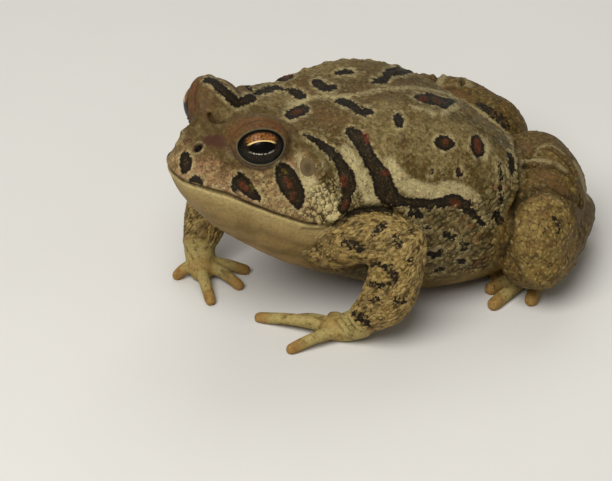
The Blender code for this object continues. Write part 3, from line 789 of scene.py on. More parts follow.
# What the photo shows dark, as points along each mark: pixel across, pixel down and half width in pixels.
# The last value says whether the toad's right side has it too.
blotches = {
    "farLid": (((206, 80.5, 3), (213, 82, 3.6), (222, 89.5, 4.5), (230, 97, 5), (237, 103.5, 4.5)), False),
    "crown": (((238, 103.5, 4), (246, 99.5, 4.6), (252.5, 98, 4)), False),
    "crownBack": (((254, 95, 2.4), (261, 92.5, 3.8), (269, 90, 4), (276, 88, 3.2), (284, 90, 1.8)), False),
    "nape": (((289, 90.5, 2.2), (294, 92, 3.8), (299, 94.5, 4.4), (304, 95.5, 2.6)), False),
    "behindEye": (((290, 115, 5), (297, 112, 5.5), (304, 109.5, 5)), False),
    "snout": (((185.5, 157, 5), (186, 163, 6), (184.5, 170, 4)), False),
    "lip": (((191, 180, 2.6), (196, 178.5, 3.4), (201, 182.5, 2.6)), True),
    "underEye": (((240, 177, 5), (244.5, 185, 7), (250, 191.5, 5.5), (258.5, 198.5, 2.8)), True),
    "underEyeEdge": (((236, 175, 3), (235, 184, 4.2), (234, 190, 2.6)), True),
    "cheek": (((283, 170, 7.5), (286.5, 178, 10.5), (292, 188, 11), (296.5, 197.5, 8.5),
               (298.5, 205, 4.5)), True),
    "neckBand": (((303, 135, 1.6), (311, 138.5, 2.8), (321, 144.5, 3.8), (331.5, 152.5, 4.6),
                  (340.5, 163.5, 5.4), (346, 176, 7.5), (349, 187, 7.5), (346, 199, 6),
                  (343, 208, 6)), True),
    "shoulderBand": (((350, 132, 5), (360, 140, 7.5), (367, 153, 7), (374, 166, 7.5), (382, 178, 9.5),
                      (386, 192, 10.5), (393, 199, 8)), True),
    "flankLine": (((393, 199, 7), (406, 202, 5), (420, 203, 5), (436, 204, 5), (452, 200, 6),
                   (463, 204, 6), (474, 214, 4), (484, 224, 3)), True),
    "backNear": (((337, 101, 2.2), (347, 103, 4), (355, 107.5, 4), (362, 111.5, 4.2),
                  (370, 112, 3.4)), False),
    "backSmall": (((398, 117, 4), (399, 122, 5.2), (400, 125.5, 3)), False),
    "backLong": (((415, 97.5, 2.6), (424, 99, 5.2), (433, 100, 7.2), (441, 102.5, 7.6), (448, 102, 4.6),
                  (456, 101, 2)), False),
    "backDiamond": (((438, 141, 3.4), (444, 143, 7.6), (451, 144.5, 3.6)), True),
    "backSquare": (((476, 139.5, 4.8), (477, 146, 6.8), (478.5, 151, 6)), True),
    "backDot": (((458, 170, 2.2), (459.5, 174.5, 3)), True),
    "backSpeck": (((432, 170.5, 1.5), (430.5, 174.5, 1.9)), True),
    "hipStreakA": (((498.5, 163, 1.3), (500, 172, 1.9), (501, 180, 1.4)), True),
    "hipStreakB": (((500, 187, 1.6), (502, 196, 2), (500, 204, 1.4)), True),
    "hipStreakC": (((509, 154, 2.6), (511.5, 165, 3.4), (512.5, 175, 2.4)), True),
    "rumpStreak": (((479, 104, 3), (489, 111, 4), (503, 122, 4.5), (508, 128, 3)), False),
    "farNape": (((315, 82.5, 3), (320, 84.5, 5), (327, 88, 4), (335, 87.5, 2.8)), False),
    "farStreak": (((336, 73.5, 2), (345, 72.5, 3), (353, 72.5, 2)), False),
    "farLong": (((374, 82, 3), (384, 80, 4), (388, 74, 4.5), (400, 71.5, 6), (413, 72, 4)), False),
    "shoulderCrease": (((344, 222, 2), (351, 215, 3), (361, 210.5, 3.5), (376, 209, 3),
                        (389, 211, 4)), True),
    "armTop": (((371, 236, 1.8), (378, 229, 3), (384, 224, 3)), True),
    "elbow": (((395, 236, 3.6), (399, 244, 4.2)), True),
    "foreArm": (((372, 266, 1.8), (380, 264, 2.8), (388, 269, 3.2), (394, 276, 4.4), (393, 282, 3),
                 (382, 286, 2.8), (370, 284, 2.6)), True),
    "foreArmOuter": (((405, 257, 2.2), (411, 261, 2.8)), True),
    "foreArmLow": (((394, 300, 3.2), (403, 302, 2.8)), True),
    "foreArmSpot": (((370, 301, 1.6), (378, 300, 2.4)), True),
    "wrist": (((354, 313, 2.4), (361, 318, 4), (368, 324, 3.2)), True),
    "armPit": (((344, 244, 3.5), (352, 245, 4.8), (361, 248, 4)), True),
    "knee": (((553, 219, 3), (557, 225, 3.6), (557, 233, 2.6)), True),
    "kneeSpot": (((545, 227, 2.2), (544, 232, 2.2)), True),
    "flankSpotA": (((430, 254, 2.6), (437, 255, 3.4), (441, 250, 2)), True),
    "flankSpotB": (((436, 271, 2.4), (443, 269, 2.4)), True),
    "flankSpotC": (((446, 235, 3.4), (454, 238, 3.2)), True),
    "flankSpotD": (((458, 261, 2), (464, 261, 2.6)), True),
    "flankSpotE": (((463, 246, 3.4), (468, 248, 2.4)), True),
    "flankSpotF": (((424, 227, 2.4), (429, 229, 1.8)), True),
    "flankSpotG": (((495, 215, 4), (500, 221, 4.2)), True),
    "flankSpotH": (((411, 213, 4), (420, 216, 3.6)), True),
}
rustMarks = {
    "behindEye": (((294, 113, 2), (300, 111, 2)), False),
    "cheekTop": (((287, 180, 2.5), (290, 186, 2.5)), True),
    "cheekLow": (((293, 194, 2.5), (292, 199, 2)), True),
    "underEye": (((242, 184.5, 3), (246, 189, 2.5)), True),
    "neckUpper": (((343, 179, 3.5), (344, 184, 3)), True),
    "neckLower": (((347, 202, 2.5), (343, 208, 2)), True),
    "shoulderTop": (((365, 135, 4), (368, 141, 3)), True),
    "shoulderMid": (((384, 173, 3), (388, 174, 2)), True),
    "flank": (((454, 203, 4), (458, 204, 3)), True),
    "backLong": (((421, 99, 2.6), (425, 99.5, 2)), False),
    "backLongEnd": (((436, 100, 3), (438, 103, 2.4)), False),
    "backDiamond": (((446, 141.5, 3),) * 2, True),
    "backSquare": (((477, 141, 3), (478.5, 150, 3)), True),
    "rimRedA": (((417, 193, 1.4),) * 2, True),
    "rimRedB": (((429.5, 194, 1.3),) * 2, True),
    "rimRedC": (((476, 205, 2),) * 2, True),
    "hipRed": (((496.5, 187, 2.6),) * 2, True),
    "backDot": (((460, 172, 1.8),) * 2, True),
    "flankRedA": (((470, 226, 3),) * 2, True),
    "flankRedB": (((477, 240, 2.4),) * 2, True),
    "flankRedC": (((446.5, 228.5, 1.8),) * 2, True),
}
brownMarks = {
    "snoutPatch": (((206, 141.5, 4), (213, 140.5, 6), (219, 141, 6.4), (225, 144, 3.4)), False),
    "snoutFront": (((184.5, 141, 2), (190, 140.5, 2.2)), True),
    "backStreak": (((400, 133, 1.8), (403.5, 139, 3)), True),
}
# Pale marks of the skin, and a few painted highlights on the thigh's ridges and the knee's top
paleMarks = {
    "backStripe": (((287, 103, 1), (300, 101.5, 1), (310, 97.5, 1), (339, 97, 1), (357, 95, 1),
                    (376, 91, 1.2), (398, 88.5, 1.2), (416, 88.5, 1.2), (436, 91.5, 1.5), (452, 97, 2),
                    (469, 106, 2.5), (491, 120, 3), (507, 135, 3), (515, 151, 2)), False),
    "betweenBands": (((345, 149, 4), (354, 160, 7), (362, 172, 8.5), (369, 188, 9), (372, 203, 7)), True),
    "behindShoulder": (((389, 160, 4), (396, 172, 6), (405, 183, 7.5), (420, 189.5, 7.5),
                        (436, 191.5, 6.5), (449, 187.5, 6), (462, 190, 5.5), (472, 196, 5),
                        (479, 204, 4)), True),
    "underEar": (((300, 158, 4), (310, 186, 8), (322, 196, 9), (334, 212, 9)), True),
    "napeBorder": (((291, 105, 1.3), (300, 102.5, 1.9), (308, 99, 1.6)), False),
    "longBorder": (((411, 107, 1.4), (424, 110.5, 1.8), (436, 115, 2), (446, 112.5, 1.9),
                    (456, 107.5, 1.6)), False),
    "squareBorder": (((486, 140, 1.4), (488, 149, 1.6), (485, 159, 1.5)), True),
    "earRim": (((311, 149.5, 1.0), (318, 153, 1.3), (323.5, 160, 1.4), (326.5, 168, 1.2)), True),
    # Painted highlights along two ridges of the thigh
    "thighRidgeHighlight": (((521, 163, 1), (529, 161, 1.6), (539, 160.5, 1.9), (549, 162, 1.9), (558, 165, 1.8),
                   (566, 171, 1.3)), True),
    "thighArcHighlight": (((534, 156, 1), (538, 149.5, 1.3), (546, 146, 1.6), (555, 148, 1.5),
                  (564, 155, 1.2)), True),
    "thighEdge": (((574, 162, 1.8), (580, 174, 2.8), (584, 188, 3), (587, 200, 2.2)), True),
    # A painted highlight on the knee's top
    "kneeTopHighlight": (((548, 196, 2), (556, 200, 2.6), (562, 208, 2.4)), True),
}
goldMarks = {
    "underEye": (((241, 174.5, 2), (245.5, 176.5, 2.4)), True),
    "underEyeLow": (((251, 186, 1.6), (253, 189, 1.4)), True),
    "cheek": (((283, 170, 1.5), (286, 173, 1.4)), True),
    "foreArm": (((375, 274, 2.6), (382, 277, 2.6)), True),
}
# Lighter fields of the back
lightMarks = {
    "upper": (((385, 130, 8), (410, 130, 9), (435, 128, 9), (458, 130, 9), (466, 145, 7)), True),
    "middle": (((414, 146, 8), (430, 149, 10), (445, 158, 9), (458, 160, 7)), True),
    "hip": (((487, 150, 6), (491, 165, 7), (488, 180, 6)), True),
    "crown": (((262, 98, 3.5), (275, 97, 5), (284, 98.5, 3.5)), False),
    "roundPatch": (((246, 110, 4), (250, 105, 3.5), (258, 103, 3), (266, 104, 3), (271, 109, 4)), True),
    "farBrow": (((222, 110, 4), (228, 114, 4)), False),
    "ahead": (((372, 122, 6), (380, 108, 6), (395, 104, 5)), True),
    "shoulder": (((378, 134, 5), (386, 146, 7), (394, 160, 7)), True),
}
# Warmer, browner skin with soft edges
warmMarks = {
    "shoulder": (((318, 110, 6), (328, 119, 8), (338, 126, 8), (346, 116, 5)), True),
    "behindEye": (((289, 120, 3), (293, 127, 4), (299, 131, 3)), True),
    "farBrow": (((200, 110, 5), (208, 109, 7), (217, 105, 6)), False),
    "farBrowUpper": (((204, 94, 3), (211, 97, 4)), False),
    "brow": (((228, 130, 4), (234, 122, 4), (244, 118, 4)), True),
    "backWart": (((414, 117.5, 3.2), (421, 120, 3.8)), True),
    "backStreak": (((402, 146, 3.2), (403, 154, 3.2), (408, 162, 2.6)), True),
    "thigh": (((538, 177, 4), (548, 176, 5), (556, 181, 6), (562, 190, 5)), True),
    "thighBack": (((524, 146, 3), (530, 152, 4)), True),
    "kneeA": (((531, 221, 3.4), (530, 224, 3)), True),
    "kneeB": (((541, 213, 3), (548, 213, 3.4)), True),
    "kneeC": (((541, 243, 2.6), (552, 244, 4.4)), True),
    "kneeD": (((527, 202, 2), (533, 201, 2.4)), True),
    "nostril": (((204, 152, 2.6), (206, 156, 2.2)), False),
}
oliveMarks = {
    "lidPatch": (((253, 109, 3.4), (258.5, 109.5, 4.2), (264, 109, 3.4)), True),
    "neckInner": (((307, 143, 2.5), (317, 150.5, 4.5), (327, 160, 5.5), (334, 171, 5.5)), True),
    "flankPatch": (((408, 165, 4.5), (416, 171, 6.5), (429, 173, 5.5)), True),
    "backStreakA": (((430, 119, 2.6), (438, 117.5, 2.8)), True),
    "backStreakB": (((452, 118, 2.4), (459, 120.5, 3)), True),
    "hipLow": (((470, 168, 4), (478, 182, 6), (483, 192, 4)), True),
    "hipHigh": (((493, 134, 2.6), (495, 143, 2.8)), True),
    "bandInside": (((352, 138, 3), (372, 172, 5), (385, 195, 7)), True),
    "underBand": (((404, 214, 5), (425, 214, 5), (445, 214, 4)), True),
}


# The place on the skin that a pixel of the photo shows.
def throughPhoto(tree, x, y):
    place = tree.ray_cast(cameraPlace, (throughPixel(x, y) - cameraPlace).normalized())[0]
    if place is None:
        place = tree.find_nearest(throughPixel(x, y))[0]
    return place


markForm = {
    "reach": 3.0,
    "step": 1.5,                # pixels
    "mostStretch": 2.4,         # how much longer than it looks a mark may be where the skin turns away
    "warpSize": 7.0,
    "warpBy": 1.3,
    "nextSeed": 5.3,
}


# Distance to the nearest mark's edge in millimetres as the photo shows it, less than 0 inside. The right side
# has the same marks, a little warped.
def markDistance(points, tree, marks, seed):
    reach, most = markForm["reach"], markForm["mostStretch"]
    field = np.full(len(points), reach)
    for side in (1, -1):
        flipped = points * (side, 1, 1)
        if side < 0:
            warp = [lumps(points, markForm["warpSize"], seed + n * markForm["nextSeed"]) for n in range(3)]
            flipped = flipped + np.stack(warp, axis=1) * markForm["warpBy"]
        across, down = toPixels(flipped)
        for row, both in marks.values():
            if side < 0 and not both:
                continue
            length = sum(math.dist(a[:2], b[:2]) for a, b in zip(row, row[1:]))
            for x, y, radius in smoothRows(row, max(2, round(length / markForm["step"]))):
                radius /= photo["pixelsPerMm"]
                centre = np.array(throughPhoto(tree, x, y))
                near = np.flatnonzero(np.all(np.abs(flipped - centre) < (reach + radius) * most, axis=1))
                flat = np.hypot(across[near] - x, down[near] - y) / photo["pixelsPerMm"]
                solid = np.linalg.norm(flipped[near] - centre, axis=1) / most
                field[near] = np.minimum(field[near], np.maximum(flat, solid) - radius)
    return field


routeSteps = 16         # how many balls stand for a limb
routeStart = 0.4        # how far out of them its colour starts to fade


# 1 inside the limbs of one kind, 0 past them by grow, in millimetres.
def nearRoutes(points, wanted, grow):
    result = np.zeros(len(points))
    for kind, route in limbRoutes():
        if kind == wanted:
            for *centre, radius in smoothRows(route, routeSteps):
                away = np.linalg.norm(points - centre, axis=1) - radius
                result = np.maximum(result, 1 - ease(away, routeStart, grow))
    return result


# The oval where the photo shows the near knee, in pixels
kneeOval = {
    "middle": (546, 241),
    "radii": (33, 49),
    "edge": (0.82, 1.06),
    "bulge": 0.6,               # millimetres
}


# 1 inside the knees, on both sides of the toad.
def nearKnees(points):
    result = np.zeros(len(points))
    for side in (1, -1):
        pixels = np.stack(toPixels(points * (side, 1, 1)), axis=1)
        ring = np.hypot(*((pixels - kneeOval["middle"]) / kneeOval["radii"]).T)
        result = np.maximum(result, (1 - ease(ring, *kneeOval["edge"])) * (points[:, 0] * side > 0))
    return result


# Each group of marks by its name in the skin's material, with the seed of its warp
markGroups = {
    "blotch": (blotches, 11),
    "rust": (rustMarks, 12),
    "pale": (paleMarks, 13),
    "olive": (oliveMarks, 14),
    "brown": (brownMarks, 15),
    "warm": (warmMarks, 16),
    "gold": (goldMarks, 17),
    "light": (lightMarks, 18),
}
# Where the zones of the skin start and end, in millimetres unless a name says otherwise
zoneEdges = {
    "limb": 1.6,
    "digit": 1.2,
    "tip": (0.8, 3.2),
    "throatDown": (0.0, 0.5),
    "throatAhead": (7.0, 14.0),
    "underLip": 2.4,
    "bellySlope": (-0.15, 0.5),
    "bellyTop": 8.5,
    "bellyDown": (0.0, 5.0),
    "dorsalAlong": (-15.0, -8.0),
    "dorsalUp": (27.0, 31.0),
    "dorsalAside": (4.0, 10.0),
    "flankTop": 22.98,
    "flankFall": 0.12,
    "flankDown": (-0.5, 3.0),
    "flankAlong": (-6.0, 0.0),
    "cheekTop": 35.4,
    "cheekFall": 0.1,
    "cheekLift": 1.5,
    "cheekLiftAhead": (26.0, 29.0),
    "cheekAhead": (13.5, 16.0),
    "cheekUp": (0.0, 0.5),
    "cheekFade": (-1.0, 1.0),
    "headTopAhead": (12.0, 18.0),
    "headTopUp": (1.0, 6.0),
    "lip": 0.62,
    "lowerLip": (0.7, 0.5),
    # Width and strength of the painted shade along the mouth's groove
    "mouthLine": 0.22,
    "mouthShadeStrength": 0.7,
    "eyeReach": 2.6,
    "lidReach": 5.0,
    # Painted shade in the nostrils' holes fades out between these distances from their axes
    "nostrilHoleShade": (0.6, 0.82),
    "nostrilPale": 1.15,
    "nostrilPaleEdge": 0.1,
}


# Writes what the skin's material reads, at every point.
def paint(mesh, tree, mouthAway):
    points = readPoints(mesh)
    normals = readPoints(mesh, "normal")
    x, y, z = points.T
    edges = zoneEdges

    def fade(values, name):
        return ease(values, *edges[name])

    leg = nearRoutes(points, "leg", edges["limb"])
    limb = np.maximum(nearRoutes(points, "arm", edges["limb"]), leg)
    digit = nearRoutes(points, "digit", edges["digit"])
    knee = nearKnees(points)
    tips = np.zeros(len(points))
    for kind, route in limbRoutes():
        if kind == "digit":
            away = np.linalg.norm(points - np.array(route[-1][:3]), axis=1)
            tips = np.maximum(tips, 1 - fade(away, "tip"))
    overMouth = z - mouthHeights(y)
    throat = fade(-overMouth, "throatDown") * fade(-y, "throatAhead") * (1 - limb)
    belly = fade(-normals[:, 2], "bellySlope") * fade(edges["bellyTop"] - z, "bellyDown")
    below = np.maximum(throat, belly * (1 - limb))
    dorsal = fade(y, "dorsalAlong") * fade(z, "dorsalUp")
    underFlank = edges["flankTop"] - edges["flankFall"] * y - z
    flank = fade(underFlank, "flankDown") * fade(y, "flankAlong") * (1 - limb)
    lift = edges["cheekLift"] * fade(-y, "cheekLiftAhead")
    underBrow = edges["cheekTop"] + edges["cheekFall"] * y + lift - z
    cheek = fade(overMouth, "cheekUp") * fade(underBrow, "cheekFade")
    cheek = cheek * fade(-y, "cheekAhead")
    headTop = fade(-y, "headTopAhead") * fade(overMouth, "headTopUp")
    lidPast = np.full(len(points), edges["lidReach"])
    lidUp = np.zeros(len(points))
    for side in (1, -1):
        _, length, upward, past = roundEye(points, side)
        past = np.where(length < eye["radius"] + edges["eyeReach"], past, edges["lidReach"])
        lidUp = np.where(past < lidPast, upward, lidUp)
        lidPast = np.minimum(lidPast, past)
    holes = nostrilAway(points)
    # Painted shade along the mouth's groove
    mouthShade = edges["mouthShadeStrength"] * hill(mouthAway, 0, edges["mouthLine"])
    found = {name: markDistance(points, tree, marks, seed) for name, (marks, seed) in markGroups.items()}
    found["pale"] = np.minimum(found["pale"],
                               np.abs(holes - edges["nostrilPale"]) + edges["nostrilPaleEdge"])
    found |= {
        "limb": limb,
        "thigh": leg * (1 - knee),
        "knee": leg * knee,
        "digit": digit,
        "tip": tips * digit,
        "below": below,
        "underLip": throat * np.exp(-np.maximum(-overMouth, 0) / edges["underLip"]),
        "dorsal": dorsal * (1 - fade(np.abs(x), "dorsalAside")),
        "flank": flank * (1 - below),
        "cheek": cheek,
        "headTop": headTop * (1 - cheek),
        "lip": hill(mouthAway, 0, edges["lip"]) * (overMouth > 0),
        "lowerLip": hill(mouthAway, *edges["lowerLip"]) * (overMouth <= 0),
        # Painted shade in the mouth's groove and the nostrils' holes
        "dark": np.maximum(mouthShade, 1 - fade(holes, "nostrilHoleShade")),
        "lidPast": lidPast,
        "lidUp": lidUp,
        "tone": np.zeros(len(points)),
    }
    for name, values in found.items():
        setAttribute(mesh, name, values)


# The largest glands, as the photo shows them at the jaw's corner: pixel across and down, half width, half
# height, and how far each leans to the right, in degrees
glands = (
    (331.5, 217.3, 7.1, 4.2, 0), (328.8, 207.4, 4.0, 4.6, 0), (318.4, 219.5, 5.7, 2.4, 70),
    (313.1, 201.9, 1.9, 6.0, 5), (308.5, 195.8, 2.4, 2.7, 0), (306.8, 204.6, 3.0, 3.2, 0),
    (319.5, 210.1, 2.5, 3.8, 0), (322.7, 202.4, 2.4, 3.2, 0), (332.6, 196.9, 2.4, 4.4, 0),
    (341.4, 195.8, 2.4, 3.3, 0), (339.2, 214.5, 1.8, 2.7, 0), (318.4, 194.7, 2.4, 2.4, 0),
    (326.0, 192.5, 2.2, 2.3, 0), (314.0, 213.4, 2.0, 2.6, 0), (336.0, 203.5, 2.0, 2.7, 0),
    (300.8, 213.4, 3.3, 2.2, 0), (309.6, 218.9, 2.7, 1.6, 60), (323.8, 184.8, 2.2, 2.5, 0),
    (331.5, 188.1, 2.0, 2.3, 0), (317.3, 187.0, 2.0, 2.2, 0), (311.8, 189.5, 1.8, 2.1, 0),
    (327.0, 199.5, 2.0, 2.8, 0), (315.5, 206.8, 1.7, 3.0, -5), (308.5, 212.0, 2.3, 2.4, 0),
    (303.5, 208.0, 1.8, 2.4, 0), (324.5, 212.6, 1.7, 2.6, 0), (337.5, 192.0, 1.8, 2.6, 0),
    (340.5, 203.0, 2.0, 2.8, 0), (335.0, 209.5, 2.0, 2.2, 0), (292.0, 213.0, 3.0, 1.8, -60),
    (284.0, 209.3, 3.2, 1.7, -65),
)
# How the glands stand on the skin, and how pale they are
glandForm = {
    "height": 0.5,              # for its least radius
    "sunk": 0.12,
    "leastSlant": 0.6,
    "tone": 0.66,
    "toneRange": 0.28,
    "toneSize": 1.4,
    "toneSeed": 2.2,
    "segments": 20,
}


def makeGlands(skin, tree, material):
    across, up, back = cameraAxes()
    shape = bmesh.new()
    sunk = glandForm["sunk"]
    for side in (1, -1):
        for x, y, halfWidth, halfHeight, lean in glands:
            place = throughPhoto(tree, x, y)
            place, out = tree.find_nearest(mirrored(place, side))[:2]
            turn = math.radians(lean)
            tallWay = mirrored(across * math.sin(turn) + up * math.cos(turn), side)
            tallWay = (tallWay - out * tallWay.dot(out)).normalized()
            wideWay = tallWay.cross(out)
            slant = max(glandForm["leastSlant"], out.dot(mirrored(back, side)))
            radii = (halfWidth / photo["pixelsPerMm"] / slant, halfHeight / photo["pixelsPerMm"])
            high = glandForm["height"] * min(radii) + sunk
            turned = Matrix((wideWay, tallWay, out)).transposed().to_4x4()
            move = Matrix.Translation(place - out * sunk) @ turned @ Matrix.Diagonal((*radii, high, 1.0))
            bmesh.ops.create_uvsphere(shape, u_segments=glandForm["segments"],
                                      v_segments=glandForm["segments"] // 2, radius=1, matrix=move)
    thing = fromBmesh("glands", shape)
    dress(thing, material)
    points = readPoints(thing.data)
    close = pointTree(readPoints(skin.data))
    nearest = np.array([close.find(spot)[1] for spot in points.tolist()])
    for layer in skin.data.attributes:
        if layer.data_type == "FLOAT" and layer.domain == "POINT":
            setAttribute(thing.data, layer.name, readAttribute(skin.data, layer.name)[nearest])
    uneven = lumps(points, glandForm["toneSize"], glandForm["toneSeed"])
    setAttribute(thing.data, "tone", glandForm["tone"] + glandForm["toneRange"] * uneven)
    return thing


# The pebbled skin: small domes strewn by zone. For each zone: how far apart in millimetres, the radius,
# how flat, how long for its width, the way its length points, how much it strays from that, and how pale
pebbles = {
    "pebblesArms": {"spacing": 0.58, "size": 0.35, "flat": 0.5, "long": 2.2, "along": (0.5, 0.6, 0.6),
                    "stray": 0.5, "pale": 0.46, "seed": 1},
    "pebblesLegs": {"spacing": 0.62, "size": 0.36, "flat": 0.36, "long": 1.1, "along": (0, 1, 0),
                    "stray": 3.1, "pale": 0.26, "seed": 2},
    "pebblesFlanks": {"spacing": 0.74, "size": 0.54, "flat": 0.36, "long": 1.3, "along": (0, 1, 0.6),
                      "stray": 0.9, "pale": 0.28, "seed": 3},
    "pebblesBack": {"spacing": 1.0, "size": 0.34, "flat": 0.3, "long": 1.0, "along": (0, 1, 0),
                    "stray": 3.1, "pale": 0.2, "seed": 4},
    "pebblesHead": {"spacing": 1.6, "size": 0.25, "flat": 0.3, "long": 1.0, "along": (0, 1, 0),
                    "stray": 3.1, "pale": 0.2, "seed": 5},
    "pebblesJaw": {"spacing": 0.4, "size": 0.27, "flat": 0.7, "long": 1.5, "along": (0.1, -0.3, 1),
                   "stray": 0.5, "pale": 0.48, "seed": 6},
    "pebblesChest": {"spacing": 0.44, "size": 0.25, "flat": 0.7, "long": 1.0, "along": (0, 1, 0),
                     "stray": 3.1, "pale": 0.6, "seed": 7},
}


# Where the pebbles grow, in millimetres unless a name says otherwise
pebbleZones = {
    "limb": 2.2,
    "digit": 1.2,
    "undersideSlope": (0.2, 0.7),
    "headAhead": (13.0, 16.0),
    "earClear": (1.2, 1.4),
    "eyeClear": (1.4, 2.2),
    "eyeReach": 2.6,
    "jaw": ((13.4, -12.6, 24.6), (5, 5, 5.2), (0.75, 1.1)),
    "chest": ((13.5, -12.9, 17.0), (3, 3, 2.4), (0.6, 1.1)),
    "backUp": (20.0, 24.0),
    "flankAlong": (-9.0, -4.0),
    "armRootTop": 19.0,
    "armRootDown": (0.0, 3.0),
    "armRootUp": (9.5, 11.5),
    "armRootOuter": 19.0,
    "armRootInward": (0.0, 3.0),
    "armRootAlong": (-16.0, -14.0),
    "thigh": 0.14,              # how much of the knee's pebbles the thigh has
    "headDense": 0.4,
    "headUp": (2.0, 4.0),
    "jawUp": (0.3, 1.0),
}


# How densely each kind of pebble grows, from 0 to 1, at every point.
def zonePebbles(mesh):
    points = readPoints(mesh)
    x, y, z = points.T
    edges = pebbleZones

    def fade(values, name):
        return ease(values, *edges[name])

    arm, leg = (nearRoutes(points, kind, edges["limb"]) for kind in ("arm", "leg"))
    digit = nearRoutes(points, "digit", edges["digit"])
    off = 1 - np.maximum(np.maximum(arm, leg), digit)
    bare = np.zeros(len(points))
    for side in (1, -1):
        _, length, _, past = roundEye(points, side)
        inEye = (1 - fade(past, "eyeClear")) * (length < eye["radius"] + edges["eyeReach"])
        inEar = 1 - fade(roundEardrum(points, side), "earClear")
        bare = np.maximum(bare, np.maximum(inEar, inEye))

    # 1 in the oval of that name, on both sides
    def inOval(name):
        place, radii, (start, end) = edges[name]
        reach = [np.linalg.norm(awayFrom(points, place, side) / radii, axis=1) for side in (1, -1)]
        return 1 - ease(np.minimum(*reach), start, end)

    jaw, chest = inOval("jaw"), inOval("chest")
    head = fade(-y, "headAhead")
    up = fade(z, "backUp")
    overMouth = z - mouthHeights(y)
    underside = fade(-readPoints(mesh, "normal")[:, 2], "undersideSlope")
    armRoot = fade(edges["armRootTop"] - z, "armRootDown") * fade(z, "armRootUp")
    armRoot = armRoot * fade(edges["armRootOuter"] - np.abs(x), "armRootInward")
    armRoot = armRoot * fade(y, "armRootAlong")
    body = off * (1 - head) * (1 - jaw)
    onLeg = edges["thigh"] + (1 - edges["thigh"]) * readAttribute(mesh, "knee")
    zones = {
        "pebblesArms": arm * (1 - digit) * (1 - np.maximum(armRoot, chest)),
        "pebblesLegs": leg * (1 - digit) * (1 - arm) * onLeg,
        "pebblesFlanks": body * (1 - up) * (1 - underside) * fade(y, "flankAlong"),
        "pebblesBack": body * up,
        "pebblesHead": edges["headDense"] * head * fade(overMouth, "headUp") * (1 - bare) * (1 - jaw),
        "pebblesJaw": jaw * off * (1 - bare) * fade(overMouth, "jawUp"),
        "pebblesChest": chest * (1 - digit) * (1 - jaw),
    }
    for name, values in zones.items():
        setAttribute(mesh, name, values)
    dense = [values for name, values in zones.items() if name not in ("pebblesBack", "pebblesHead")]
    setAttribute(mesh, "pebbled", np.maximum.reduce(dense))


# A low dome, and a flat foot that lies under the skin: radius and height of its rings, and its top
pebbleForm = {
    "sides": 8,
    "rings": ((1.0, -0.35), (0.66, 0.45)),
    "top": 0.72,
}


def makePebble():
    sides = pebbleForm["sides"]
    shape = bmesh.new()
    turns = [math.tau * k / sides for k in range(sides)]
    rows = [[shape.verts.new((radius * math.cos(turn), radius * math.sin(turn), z)) for turn in turns]
            for radius, z in pebbleForm["rings"]]
    top = shape.verts.new((0, 0, pebbleForm["top"]))
    shape.faces.new(reversed(rows[0]))
    for k in range(sides):
        after = (k + 1) % sides
        shape.faces.new((rows[0][k], rows[0][after], rows[1][after], rows[1][k]))
        shape.faces.new((rows[1][k], rows[1][after], top))
    bmesh.ops.recalc_face_normals(shape, faces=shape.faces)
    pebble = fromBmesh("pebble", shape)
    pebble.hide_render = True
    return pebble


# What the tree of nodes is given, by name
pebbleInputs = {
    "skin": "Geometry",
    "spacing": "Float",
    "size": "Float",
    "flat": "Float",
    "long": "Float",
    "along": "Vector",
    "stray": "Float",
    "pale": "Float",
    "seed": "Int",
    "zone": "String",
    "pebble": "Object",
    "material": "Material",
}
# The same for every kind: how many to the square millimetre, least and greatest size, and the darkest tone
pebbleVary = {
    "density": 6.0,
    "least": (0.45, 0.45, 0.4),
    "greatest": (1.5, 1.3, 1.4),
    "darkest": 0.12,
    "toneSeed": 5,
}


